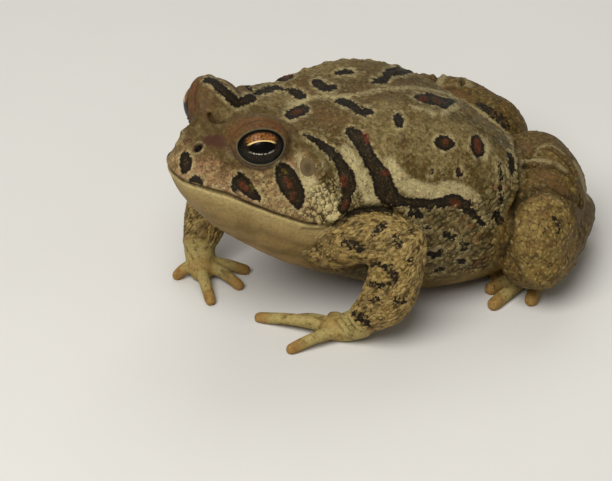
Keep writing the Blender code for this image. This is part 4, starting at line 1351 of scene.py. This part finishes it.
def pebbleTree():
    tree = bpy.data.node_groups.new("strewPebbles", "GeometryNodeTree")
    for name, kind in pebbleInputs.items():
        tree.interface.new_socket(name, in_out="INPUT", socket_type="NodeSocket" + kind)
    tree.interface.new_socket("pebbles", in_out="OUTPUT", socket_type="NodeSocketGeometry")
    given = tree.nodes.new("NodeGroupInput").outputs

    # A node, with its own settings and what each of its inputs gets
    def add(kind, inputs, **settings):
        node = tree.nodes.new(kind)
        for name, value in settings.items():
            setattr(node, name, value)
        for name, value in inputs.items():
            if isinstance(value, bpy.types.NodeSocket):
                tree.links.new(value, node.inputs[name])
            else:
                node.inputs[name].default_value = value
        return node.outputs

    zone = add("GeometryNodeInputNamedAttribute", {"Name": given["zone"]}, data_type="FLOAT")
    strew = add("GeometryNodeDistributePointsOnFaces", {
        "Mesh": given["skin"],
        "Distance Min": given["spacing"],
        "Density Max": pebbleVary["density"],
        "Density Factor": zone["Attribute"],
        "Seed": given["seed"],
    }, distribute_method="POISSON")
    info = add("GeometryNodeObjectInfo", {"Object": given["pebble"]})
    vary = add("FunctionNodeRandomValue", {0: pebbleVary["least"], 1: pebbleVary["greatest"]},
               data_type="FLOAT_VECTOR")
    scale = add("ShaderNodeVectorMath", {0: vary[0], "Scale": given["size"]}, operation="SCALE")
    squash = add("ShaderNodeCombineXYZ", {0: given["long"], 1: 1.0, 2: given["flat"]})
    shaped = add("ShaderNodeVectorMath", {0: scale[0], 1: squash[0]}, operation="MULTIPLY")
    aim = add("FunctionNodeAlignRotationToVector", {"Rotation": strew["Rotation"], "Vector": given["along"]},
              axis="X", pivot_axis="Z")
    least = add("ShaderNodeMath", {0: given["stray"], 1: -1.0}, operation="MULTIPLY")
    spin = add("FunctionNodeRandomValue", {2: least[0], 3: given["stray"]}, data_type="FLOAT")
    around = add("FunctionNodeAxisAngleToRotation", {"Axis": (0, 0, 1), "Angle": spin[1]})
    turned = add("FunctionNodeRotateRotation", {"Rotation": aim[0], "Rotate By": around[0]},
                 rotation_space="LOCAL")
    put = add("GeometryNodeInstanceOnPoints", {
        "Points": strew["Points"],
        "Instance": info["Geometry"],
        "Rotation": turned[0],
        "Scale": shaped[0],
    })
    tone = add("FunctionNodeRandomValue", {2: pebbleVary["darkest"], 3: given["pale"],
                                           "Seed": pebbleVary["toneSeed"]}, data_type="FLOAT")
    stored = add("GeometryNodeStoreNamedAttribute", {"Geometry": put[0], "Name": "tone", "Value": tone[1]},
                 data_type="FLOAT", domain="INSTANCE")
    real = add("GeometryNodeRealizeInstances", {"Geometry": stored[0]})
    painted = add("GeometryNodeSetMaterial", {"Geometry": real[0], "Material": given["material"]})
    add("NodeGroupOutput", {"pebbles": painted[0]})
    return tree


def triangleCount(thing):
    return sum(len(face.vertices) - 2 for face in thing.data.polygons)


# One joined mesh for each kind of pebble.
def strewPebbles(skin, tree, pebble, material):
    ids = {item.name: item.identifier for item in tree.interface.items_tree if item.in_out == "INPUT"}
    made = []
    for name, values in pebbles.items():
        carrier = newObject(name, skin.data.copy())
        grow = carrier.modifiers.new("pebbles", "NODES")
        grow.node_group = tree
        for key, value in {**values, "zone": name, "pebble": pebble, "material": material}.items():
            grow[ids[key]] = value
        settle(carrier)
        carrier.data.shade_smooth()
        made.append(carrier)
        print("pebbles:", name, triangleCount(carrier), "triangles")
    return made


# A colour as eight-bit screen values, turned to what a shader takes.
def tint(*screen):
    return (*(((c / 255 + 0.055) / 1.055) ** 2.4 if c > 10 else c / 3294.6 for c in screen), 1.0)


def newMaterial(name):
    material = bpy.data.materials.new(name)
    material.use_nodes = True
    nodes = material.node_tree.nodes
    return material, nodes["Principled BSDF"]


# Short calls for a material's nodes. A colour is given by its name in the table.
class Wires:
    def __init__(self, material, colours):
        self.nodes = material.node_tree.nodes
        self.link = material.node_tree.links.new
        self.place = self.nodes.new("ShaderNodeTexCoord").outputs["Object"]
        self.colours = colours
        self.base = None

    def put(self, socket, value):
        if isinstance(value, bpy.types.NodeSocket):
            self.link(value, socket)
        else:
            socket.default_value = tint(*self.colours[value]) if isinstance(value, str) else value

    def read(self, name):
        node = self.nodes.new("ShaderNodeAttribute")
        node.attribute_name = name
        return node.outputs["Fac"]

    def combine(self, operation, *values):
        node = self.nodes.new("ShaderNodeMath")
        node.operation = operation
        for socket, value in zip(node.inputs, values):
            self.put(socket, value)
        return node.outputs[0]

    def times(self, first, second):
        return self.combine("MULTIPLY", first, second)

    # Noise turned to swing about 0
    def wobble(self, noiseValue, size):
        return self.times(self.combine("SUBTRACT", noiseValue, 0.5), size)

    # How much of a mark shows, from its distance and an uneven edge
    def spot(self, name, noiseValue, uneven, out, inside, most):
        edge = self.combine("ADD", self.read(name), self.wobble(noiseValue, uneven))
        return self.ramp(edge, out, inside, 0.0, most)

    def ramp(self, value, low, high, start=0.0, end=1.0):
        node = self.nodes.new("ShaderNodeMapRange")
        node.interpolation_type = "SMOOTHSTEP"
        for socket, given in zip(node.inputs, (value, low, high, start, end)):
            self.put(socket, given)
        return node.outputs[0]

    def blend(self, amount, first, second):
        node = self.nodes.new("ShaderNodeMix")
        node.data_type = "RGBA"
        for socket, given in zip((0, 6, 7), (amount, first, second)):
            self.put(node.inputs[socket], given)
        return node.outputs[2]

    # Lays a colour over the base, as thickly as amount says
    def lay(self, amount, colour):
        self.base = self.blend(amount, self.base, colour)

    def cloud(self, perMm, detail=3.0, rough=0.55):
        node = self.nodes.new("ShaderNodeTexNoise")
        node.inputs["Scale"].default_value = perMm / mm
        node.inputs["Detail"].default_value = detail
        node.inputs["Roughness"].default_value = rough
        self.link(self.place, node.inputs["Vector"])
        return node.outputs["Fac"]

    def cells(self, perMm):
        node = self.nodes.new("ShaderNodeTexVoronoi")
        node.inputs["Scale"].default_value = perMm / mm
        self.link(self.place, node.inputs["Vector"])
        return node.outputs["Distance"]

    # Joins the base, and a bump of some depth in millimetres, to the shader
    def finish(self, shader, strength=0.0, depth=0.0, height=None):
        self.link(self.base, shader.inputs["Base Color"])
        if height is not None:
            bump = self.nodes.new("ShaderNodeBump")
            bump.inputs["Strength"].default_value = strength
            bump.inputs["Distance"].default_value = depth * mm
            self.link(height, bump.inputs["Height"])
            self.link(bump.outputs[0], shader.inputs["Normal"])


skinColours = {
    "tan": (108, 88, 44),
    "olive": (84, 68, 26),
    "pale": (204, 187, 134),
    "headBrown": (90, 70, 38),
    "cheek": (168, 138, 92),
    "pink": (160, 116, 82),
    "network": (72, 48, 26),
    "limb": (166, 138, 78),
    "limbPale": (212, 186, 126),
    "limbShade": (96, 74, 32),
    "knee": (158, 132, 68),
    "leg": (100, 80, 34),
    "legDark": (62, 52, 20),
    "digit": (180, 160, 98),
    "digitShade": (116, 94, 50),
    "tip": (148, 106, 58),
    "fingertip": (158, 108, 48),
    "throat": (148, 120, 70),
    "throatPale": (214, 190, 128),
    "throatShade": (110, 88, 42),
    "flank": (90, 74, 36),
    "flankPale": (150, 128, 76),
    "warm": (112, 80, 44),
    "blotch": (36, 29, 14),
    "blotchFleck": (98, 86, 48),
    "gold": (112, 94, 30),
    "light": (146, 127, 80),
    "blotchEdge": (24, 18, 9),
    "rust": (112, 52, 26),
    "brown": (80, 46, 34),
    "rustPale": (126, 84, 46),
    "cream": (208, 188, 130),
    "lidUpper": (106, 72, 40),
    "lidRed": (116, 60, 40),
    # The lower lid's purplish colour, darkened as painted shadow under the eye
    "lidLower": (80, 60, 52),
    "lidRim": (104, 98, 70),
    "lip": (88, 56, 38),
    # Painted shade for the mouth's groove, the nostrils' holes and where the lids meet the eyeball
    "dark": (12, 9, 6),
    "shade": (36, 27, 13),
# Dark flecks, and painted shade between pebbles and granules, in creases and in the hollows of the fine bump
}


def makeSkinMaterial():
    material, shader = newMaterial("toadSkin")
    wires = Wires(material, skinColours)
    read, ramp, times, combine = wires.read, wires.ramp, wires.times, wires.combine
    blend, lay, spot, cloud = wires.blend, wires.lay, wires.spot, wires.cloud
    broad, medium, small, grain = (cloud(perMm) for perMm in (0.22, 0.75, 2.2, 5.0))
    mottle = cloud(1.1, 4.0, 0.62)
    smudge = cloud(0.5)
    tone, limb, below, cheek, headTop = (read(name) for name in ("tone", "limb", "below", "cheek", "headTop"))
    # The ground colour, zone by zone
    wires.base = blend(ramp(broad, 0.42, 0.62), "tan", "olive")
    lay(ramp(mottle, 0.5, 0.66, 0.0, 0.32), "pale")
    lay(ramp(mottle, 0.47, 0.34, 0.0, 0.6), "flank")
    lay(times(read("dorsal"), 0.6), "headBrown")
    lay(times(headTop, 0.75), "headBrown")
    lay(times(spot("warm", medium, 2.2, 1.0, -1.0, 0.75), ramp(mottle, 0.4, 0.6, 0.2)), "warm")
    lay(times(spot("light", medium, 2.6, 1.2, -0.9, 0.8), ramp(mottle, 0.36, 0.56, 0.35)), "light")
    face = blend(ramp(smudge, 0.34, 0.5, 0.45), "headBrown", "cheek")
    face = blend(ramp(broad, 0.48, 0.6, 0.0, 0.5), face, "pink")
    face = blend(ramp(smudge, 0.54, 0.62, 0.0, 0.5), face, "cream")
    web = combine("ABSOLUTE", combine("SUBTRACT", cloud(0.8, 4.0, 0.7), 0.5))
    face = blend(ramp(web, 0.045, 0.0, 0.0, 0.8), face, "network")
    face = blend(ramp(cloud(2.4, 2.0), 0.62, 0.68, 0.0, 0.6), face, "network")
    speckled = combine("ADD", ramp(web, 0.05, 0.0, 0.0, 0.34), ramp(mottle, 0.44, 0.34, 0.0, 0.3))
    lay(times(headTop, speckled), "network")
    lay(times(headTop, ramp(smudge, 0.54, 0.64, 0.0, 0.3)), "light")
    lay(cheek, face)
    lay(spot("pale", small, 1.6, 0.5, -0.4, 0.9), "pale")
    lay(spot("olive", medium, 3.0, 0.6, -0.6, 0.75), "olive")
    lay(read("flank"), blend(ramp(medium, 0.46, 0.62), "flank", "flankPale"))
    limbTint = blend(ramp(medium, 0.46, 0.62), "limb", "limbShade")
    limbTint = blend(ramp(cloud(0.55, 4.0, 0.6), 0.53, 0.6, 0.0, 0.5), limbTint, "network")
    kneeTint = blend(ramp(medium, 0.46, 0.58, 0.0, 0.75), "knee", "limbShade")
    kneeTint = blend(ramp(mottle, 0.5, 0.6, 0.0, 0.5), kneeTint, "tip")
    lay(limb, blend(read("knee"), limbTint, kneeTint))
    legTint = blend(ramp(broad, 0.4, 0.6), "leg", "limbShade")
    legTint = blend(ramp(cloud(0.9, 4.0, 0.7), 0.5, 0.4, 0.0, 0.75), legTint, "legDark")
    legTint = blend(ramp(mottle, 0.52, 0.64, 0.0, 0.4), legTint, "tip")
    legTint = blend(ramp(cloud(1.3), 0.55, 0.66, 0.0, 0.5), legTint, "knee")
    lay(read("thigh"), legTint)
    lay(times(limb, spot("warm", small, 1.0, 0.5, -0.4, 0.6)), "warm")
    lay(times(limb, spot("pale", small, 0.8, 0.25, -0.2, 0.5)), "pale")
    throatTint = blend(ramp(broad, 0.35, 0.7), "throat", "throatShade")
    lay(below, blend(times(read("underLip"), 0.85), throatTint, "throatPale"))
    lay(read("digit"), blend(ramp(medium, 0.5, 0.68, 0.0, 0.7), "digit", "digitShade"))
    lay(times(read("tip"), 0.65), "fingertip")
    # Small dark and pale flecks, fewer on the throat and on top of the head
    flecked = combine("MULTIPLY_ADD", combine("MAXIMUM", below, headTop), -0.8, 1.0)
    lay(times(ramp(cloud(1.5, 2.0), 0.6, 0.66, 0.0, 0.5), flecked), "shade")
    lay(times(ramp(cloud(2.0, 2.0), 0.58, 0.68, 0.0, 0.16), flecked), "cream")
    lay(spot("brown", medium, 0.9, 0.3, -0.3, 0.85), "brown")
    # Painted shade on the skin between pebbles, and each pebble a little paler or rustier
    shadeBetweenPebbles = combine("MULTIPLY_ADD", read("pebblesJaw"), 0.38, times(read("pebbled"), 0.3))
    shadeBetweenPebbles = times(shadeBetweenPebbles, combine("MULTIPLY_ADD", read("pebblesArms"), -0.35, 1.0))
    lay(times(ramp(tone, 0.1, 0.0), shadeBetweenPebbles), "shade")
    lay(times(tone, 0.66), blend(limb, "cream", "limbPale"))
    rusty = times(ramp(tone, 0.132, 0.128), ramp(tone, 0.05, 0.1))
    lay(times(rusty, 0.45), "rust")
    lay(ramp(read("crown"), 0.5, 0.95, 0.0, 0.22), blend(ramp(broad, 0.5, 0.56), "rustPale", "pale"))
    # Granules too fine to strew, as a bump with painted shade in the gaps between them
    granule = wires.cells(1.7)
    plain = combine("MAXIMUM", combine("MAXIMUM", below, read("digit")), ramp(tone, 0.1, 0.5))
    plain = combine("MAXIMUM", plain, times(combine("MAXIMUM", cheek, headTop), 0.7))
    plain = combine("MAXIMUM", plain, times(limb, 0.6))
    fine = times(combine("SUBTRACT", 1.0, plain), combine("MULTIPLY_ADD", read("flank"), 0.6, 0.4))
    # Painted shade between the granules
    lay(times(ramp(granule, 0.3, 0.62, 0.0, 0.5), fine), "shade")
    # Lids; the lower lid's colour is partly painted shadow under the eye
    past, up = read("lidPast"), read("lidUp")
    lid = blend(ramp(up, -0.4, 0.5), "lidLower", "lidUpper")
    lid = blend(times(ramp(mottle, 0.46, 0.58, 0.0, 0.85), ramp(up, 0.0, 0.5)), lid, "lidRed")
    lid = blend(ramp(medium, 0.45, 0.65, 0.0, 0.5), lid, "network")
    lid = blend(ramp(small, 0.46, 0.64, 0.0, 0.5), lid, "tan")
    reach = combine("ADD", ramp(up, -0.5, 0.6, 1.3, 2.5), wires.wobble(medium, 1.4))
    lay(ramp(combine("SUBTRACT", reach, past), -0.3, 0.4, 0.0, 0.8), lid)
    # Painted shade in the crease over the upper lid
    lidCreaseShade = ramp(combine("ABSOLUTE", combine("SUBTRACT", past, 1.68)), 0.22, 0.0)
    lay(times(times(lidCreaseShade, ramp(up, 0.2, 0.7)), 0.35), "shade")
    # A pale border round the blotches, then their black edges and browner middles
    edge = combine("ADD", read("blotch"), wires.wobble(small, 0.8))
    edge = combine("ADD", edge, wires.wobble(medium, 0.6))
    border = times(ramp(edge, 0.8, 0.2), ramp(limb, 0.6, 0.2))
    lay(times(border, ramp(mottle, 0.4, 0.6, 0.1, 0.45)), "pale")
    broken = combine("MULTIPLY_ADD", times(limb, ramp(cloud(1.6), 0.52, 0.6, 0.0, 0.6)), -1.0, 1.0)
    inside = times(times(ramp(edge, 0.12, -0.08), broken), ramp(tone, 0.3, 1.0, 1.0, 0.8))
    middle = blend(ramp(mottle, 0.48, 0.6, 0.0, 0.22), "blotch", "brown")
    middle = blend(ramp(cloud(2.6, 2.0), 0.55, 0.64, 0.0, 0.5), middle, "blotchFleck")
    lay(inside, blend(ramp(edge, -0.25, -0.7), "blotchEdge", middle))
    lay(times(spot("rust", small, 1.2, 0.3, -0.4, 0.8), ramp(cloud(2.4), 0.36, 0.52, 0.45)), "rust")
    lay(spot("gold", small, 0.8, 0.2, -0.2, 0.7), "gold")
    # The eye's margin, the lips, the creases and the nostrils, with painted shade in the mouth's groove, in
    # the nostrils' holes and where the lids meet the eyeball
    lay(ramp(past, 0.32, 0.22, 0.0, 0.75), "lidRim")
    # Painted shade where the lids meet the eyeball
    lay(ramp(past, 0.12, 0.04), "dark")
    lay(times(read("lip"), ramp(medium, 0.35, 0.6, 0.3, 0.75)), "lip")
    lay(times(read("lowerLip"), 0.25), "cream")
    # Painted shade in the creases
    lay(times(read("creaseShade"), 0.75), "shade")
    # Painted shade in the mouth's groove and the nostrils' holes
    lay(read("dark"), "dark")
    lay(ramp(small, 0.35, 0.62, 0.22, 0.0), "shade")
    # Darker where the fine bump is low: painted shade in its hollows
    lay(ramp(grain, 0.3, 0.7, 0.22, 0.0), "shade")
    wires.link(ramp(small, 0.3, 0.7, 0.5, 0.7), shader.inputs["Roughness"])
    shader.inputs["Specular IOR Level"].default_value = 0.13
    wires.finish(shader, 0.6, 0.13, combine("SUBTRACT", grain, times(times(granule, fine), 1.2)))
    return material


eyeColours = {
    "iris": (28, 21, 14),
    "fleck": (98, 82, 54),
    "copper": (150, 94, 44),
    "gold": (236, 202, 128),
    "silver": (186, 180, 158),
    "pupil": (4, 4, 3),
    # Painted shade on the eyeball where the lids overhang it
    "margin": (10, 8, 6),
}


# A dark iris with a copper band over a level oval pupil. It reads millimetres along and up the eye.
def makeEyeMaterial():
    material, shader = newMaterial("toadEye")
    wires = Wires(material, eyeColours)
    ramp, times, combine, blend, lay = wires.ramp, wires.times, wires.combine, wires.blend, wires.lay
    along, up = wires.read("eyeAlong"), wires.read("eyeUp")
    wide, tall = eye["pupil"]
    flecks = wires.cloud(6.0)
    streaks = wires.cloud(3.0, 4.0, 0.7)

    # How far out each point is on an oval with these half sizes: 1 is the oval
    def oval(halfWide, halfTall):
        parts = [combine("DIVIDE", *pair) for pair in ((along, halfWide), (up, halfTall))]
        return combine("SQRT", combine("ADD", *(times(part, part) for part in parts)))

    wires.base = blend(ramp(flecks, 0.56, 0.7, 0.0, 0.5), "iris", "fleck")
    inBand = times(ramp(up, tall * 0.75, tall * 1.05), ramp(up, 2.8, 2.1))
    inBand = times(inBand, ramp(combine("ABSOLUTE", along), 2.9, 2.0))
    copper = blend(ramp(streaks, 0.4, 0.62), "copper", "iris")
    lay(inBand, blend(ramp(flecks, 0.6, 0.7, 0.0, 0.6), copper, "gold"))
    ring = oval(wide, tall)
    steep = combine("DIVIDE", up, tall)
    onEdge = times(ramp(ring, 1.0, 1.05), ramp(ring, 1.3, 1.14))
    lay(times(onEdge, ramp(steep, 0.35, 0.75)), "gold")
    lay(times(times(onEdge, ramp(steep, -0.5, -0.85)), ramp(streaks, 0.46, 0.54)), "silver")
    lay(ramp(ring, 1.04, 1.0), "pupil")
    # Painted shade on the eyeball next to the lids
    lay(ramp(oval(eye["halfWidth"], eye["halfDown"]), 0.78, 0.94), "margin")
    for socket, value in (("Roughness", 0.4), ("Specular IOR Level", 0.05), ("Coat Weight", 0.22),
                          ("Coat Roughness", 0.02), ("Coat IOR", 1.38)):
        shader.inputs[socket].default_value = value
    wires.finish(shader)
    return material


# The eyeball, with its own coordinates for the iris.
def makeEye(name, side, material):
    along, up, out = eyeAxes(side)
    centre = np.array(mirrored(eye["centre"], side))
    thing = ball(centre, (eye["radius"],) * 3, facing(out), 96)
    away = readPoints(thing.data) - centre
    angle = np.arccos(np.clip(away @ np.array(out) / eye["radius"], -1, 1))
    away *= 1 + (eye["cornea"] / eye["radius"] * np.exp(-(angle / eye["corneaSpread"]) ** 2))[:, None]
    writePoints(thing.data, centre + away)
    setAttribute(thing.data, "eyeAlong", away @ np.array(along))
    setAttribute(thing.data, "eyeUp", away @ np.array(up))
    thing.name = name
    dress(thing, material)
    return thing


eardrumColours = {
    "pale": (108, 90, 56),
    "shade": (90, 74, 44),
    "fleck": (80, 66, 42),
    "rim": (126, 106, 66),
    "centre": (70, 56, 34),
}


def makeEardrumMaterial():
    material, shader = newMaterial("eardrumSkin")
    wires = Wires(material, eardrumColours)
    ring = wires.read("drumRing")
    wires.base = wires.blend(wires.ramp(wires.cloud(0.5), 0.35, 0.65), "pale", "shade")
    wires.lay(wires.ramp(wires.cloud(1.8), 0.5, 0.66, 0.0, 0.6), "fleck")
    wires.lay(wires.ramp(ring, 0.5, 0.95, 0.0, 0.8), "rim")
    wires.lay(wires.ramp(ring, 0.5, 0.15, 0.0, 0.6), "centre")
    wires.link(wires.ramp(wires.cloud(1.4), 0.3, 0.7, 0.4, 0.55), shader.inputs["Roughness"])
    wires.finish(shader, 0.3, 0.04, wires.cloud(4.0))
    return material


# A thin oval of skin that lies in its recess.
def makeEardrum(name, side, tree, material):
    along, up, out = eardrumAxes(side)
    centre = mirrored(eardrum["centre"], side)
    narrow, tall = eardrum["radii"]
    rings, sides = eardrum["rings"], eardrum["sides"]
    start = out * eardrum["castFrom"]
    shape = bmesh.new()
    layers = []
    for height, under in eardrum["layers"]:
        rows = [[None] * sides for _ in range(rings)]
        for r in range(rings):
            t = (r + 1) / rings
            for k in range(sides):
                angle = math.tau * k / sides
                spot = centre + along * (narrow * t * math.cos(angle)) + up * (tall * t * math.sin(angle))
                place = tree.ray_cast(spot + start, -out)[0]
                rows[r][k] = shape.verts.new(place + out * (height - under * t ** 5))
        hub = shape.verts.new(tree.ray_cast(centre + start, -out)[0] + out * height)
        for k in range(sides):
            shape.faces.new((hub, rows[0][k], rows[0][(k + 1) % sides]))
        for inner, outer in zip(rows, rows[1:]):
            band(shape, inner, outer)
        layers.append(rows[-1])
    band(shape, *layers)
    bmesh.ops.recalc_face_normals(shape, faces=shape.faces)
    thing = fromBmesh(name, shape)
    setAttribute(thing.data, "drumRing", roundEardrum(readPoints(thing.data), side))
    dress(thing, material)
    return thing


# From the drawing's millimetres to metres in the frame.
def toFrame(thing):
    thing.data.transform(Matrix.Translation(shift) @ Matrix.Scale(mm, 4))
    thing.data.update()


def thinOut(thing, triangles):
    now = triangleCount(thing)
    if now > triangles:
        thin = thing.modifiers.new("thin out", "DECIMATE")
        thin.ratio = triangles / now
        settle(thing)
    print("skin:", now, "triangles, thinned to", len(thing.data.polygons))


def surfaceOf(thing):
    shape = bmesh.new()
    shape.from_mesh(thing.data)
    tree = BVHTree.FromBMesh(shape)
    shape.free()
    return tree


# Lids, mouth, nostrils, eardrums' recesses, folds and warts, moved in the skin's own points.
def detail(form):
    tree = surfaceOf(form)
    left, out = tree.find_nearest(throughPhoto(tree, *nostril["pixel"]))[:2]
    out = out.lerp(cameraAxes()[2], nostril["turned"]).normalized()
    right = tree.find_nearest(mirrored(left, -1) + nostril["rightMove"])[0]
    nostril["places"] = [(left, out), (right, mirrored(out, -1))]
    mesh = form.data

    def step(change, *more):
        result = change(readPoints(mesh), readPoints(mesh, "normal"), *more)
        moved, rest = result if isinstance(result, tuple) else (result, None)
        writePoints(mesh, moved)
        return rest

    route = mouthRoute(tree)
    crown = step(raiseWarts, placeWarts(tree))
    step(roughen)
    step(swellKnees)
    step(pressHollows)
    step(gather)
    creaseShade = step(carveCreases, tree)
    step(lambda points, normals: shapeLids(points))
    step(carveMouth, route)
    step(carveNostrils)
    step(carveEardrums)
    step(lambda points, normals: np.maximum(points, (-np.inf, -np.inf, 0)))     # nothing under the floor
    setAttribute(mesh, "crown", crown)
    # where the creases get painted shade
    setAttribute(mesh, "creaseShade", creaseShade)
    return route, tree


# The face is hollow below and ahead of each eye
hollow = {
    "at": (7.7, -27.5, 32.4),
    "radius": 2.7,
    "depth": 1.5,
}


def pressHollows(points, normals):
    rise = np.zeros(len(points))
    for side in (1, -1):
        away = np.linalg.norm(awayFrom(points, hollow["at"], side), axis=1)
        rise -= hollow["depth"] * hill(away, 0, hollow["radius"])
    return moveOut(points, normals, rise)


# The knees bulge ahead of the thighs.
def swellKnees(points, normals):
    inKnee = nearKnees(points) * nearRoutes(points, "leg", zoneEdges["limb"])
    return moveOut(points, normals, kneeOval["bulge"] * inKnee)


# The skin's own unevenness, as height, size and seed. Fingers and head have less of it
rough = {
    "coarse": (0.14, 3.2, 1.7),
    "fine": (0.07, 1.3, 8.1),
    "digit": 1.0,
    "lessOnDigits": 0.7,
    "ahead": (16, 22),
    "lessOnHead": 0.5,
}


def roughen(points, normals):
    rise = sum(height * lumps(points, size, seed) for height, size, seed in (rough["coarse"], rough["fine"]))
    calm = np.maximum(nearRoutes(points, "digit", rough["digit"]) * rough["lessOnDigits"],
                      ease(-points[:, 1], *rough["ahead"]) * rough["lessOnHead"])
    return moveOut(points, normals, rise * (1 - calm))


# Moves a finished piece into the frame, and says what it rides on and replaces. The slot it is given is not
# used.
def deliver(piece, slot, *replaced):
    toFrame(piece)
    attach(piece, "root")
    if replaced:
        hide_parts(*replaced)


print("shaping the skin")
skin = makeForm()
print("voxel skin:", len(skin.data.vertices), "points")
mouthLine, smoothTree = detail(skin)
thinOut(skin, fineForm["triangles"])
skinMesh = skin.data

print("painting the marks")
skinTree = surfaceOf(skin)
paint(skinMesh, smoothTree, distanceTo(readPoints(skinMesh), mouthLine, mouth["reach"])[0])
zonePebbles(skinMesh)
skinMaterial = makeSkinMaterial()
dress(skin, skinMaterial)

print("strewing the pebbles")
pebble = makePebble()
pebblePieces = strewPebbles(skin, pebbleTree(), pebble, skinMaterial)
pebblePieces.append(makeGlands(skin, skinTree, skinMaterial))
bpy.data.objects.remove(pebble)

print("making eyes and eardrums")
eyeMaterial = makeEyeMaterial()
eardrumMaterial = makeEardrumMaterial()
deliver(skin, "skin", *(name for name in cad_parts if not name.startswith(("eye", "tympanum"))))
for piece in pebblePieces:
    deliver(piece, "skin")
for side, word, end in ((1, "left", "Left"), (-1, "right", "Right")):
    deliver(makeEye("eyeball" + end, side, eyeMaterial), "eye", "eye_" + word)
    deliver(makeEardrum("eardrum" + end, side, skinTree, eardrumMaterial), "eardrum", "tympanum_" + word)

# The studio: pale floor, soft light from above, and the photo's camera
print("setting the studio")
studio = {
    "floor": (222, 219, 212),
    "floorShade": (212, 209, 202),
    "world": 0.25,
    "worldColour": (1.0, 0.98, 0.94, 1.0),
    "aim": Vector((0, 0, 0.02)),
    "key": {"place": (0.18, -0.26, 0.46), "size": 0.4, "watts": 2.7},
    "fill": {"place": (-0.35, 0.25, 0.50), "size": 0.5, "watts": 0.9},
    "floorHalf": 3,
    "sensor": 36,
    "clipStart": 0.01,
}


def addFloor():
    shape = bmesh.new()
    bmesh.ops.create_grid(shape, x_segments=1, y_segments=1, size=studio["floorHalf"])
    floor = fromBmesh("floor", shape)
    material, shader = newMaterial("floorPaper")
    wires = Wires(material, studio)
    wires.base = wires.blend(wires.ramp(wires.cloud(0.02), 0.3, 0.7, 0.0, 0.25), "floor", "floorShade")
    shader.inputs["Roughness"].default_value = 0.9
    wires.finish(shader)
    floor.data.materials.append(material)


def addLight(name, place, size, watts):
    lamp = bpy.data.lights.new(name, "AREA")
    lamp.shape = "DISK"
    lamp.size = size
    lamp.energy = watts
    light = newObject(name, lamp)
    light.location = place
    light.rotation_euler = (studio["aim"] - Vector(place)).to_track_quat("-Z", "Y").to_euler()


def addCamera():
    across, up, back = cameraAxes()
    camera = newObject("camera", bpy.data.cameras.new("camera"))
    turn = Matrix((across, up, back)).transposed().to_4x4()
    camera.matrix_world = Matrix.Translation(shift + cameraPlace * mm) @ turn
    camera.data.sensor_width = studio["sensor"]
    camera.data.lens = photo["pixelsPerMm"] * photo["distance"] * studio["sensor"] / photo["size"][0]
    camera.data.clip_start = studio["clipStart"]
    bpy.context.scene.camera = camera


addFloor()
for lightName in ("key", "fill"):
    addLight(lightName, **studio[lightName])
addCamera()
world = bpy.data.worlds.new("studio")
world.use_nodes = True
backdrop = world.node_tree.nodes["Background"].inputs
backdrop["Color"].default_value = studio["worldColour"]
backdrop["Strength"].default_value = studio["world"]
bpy.context.scene.world = world
bpy.context.scene.view_settings.view_transform = "Standard"
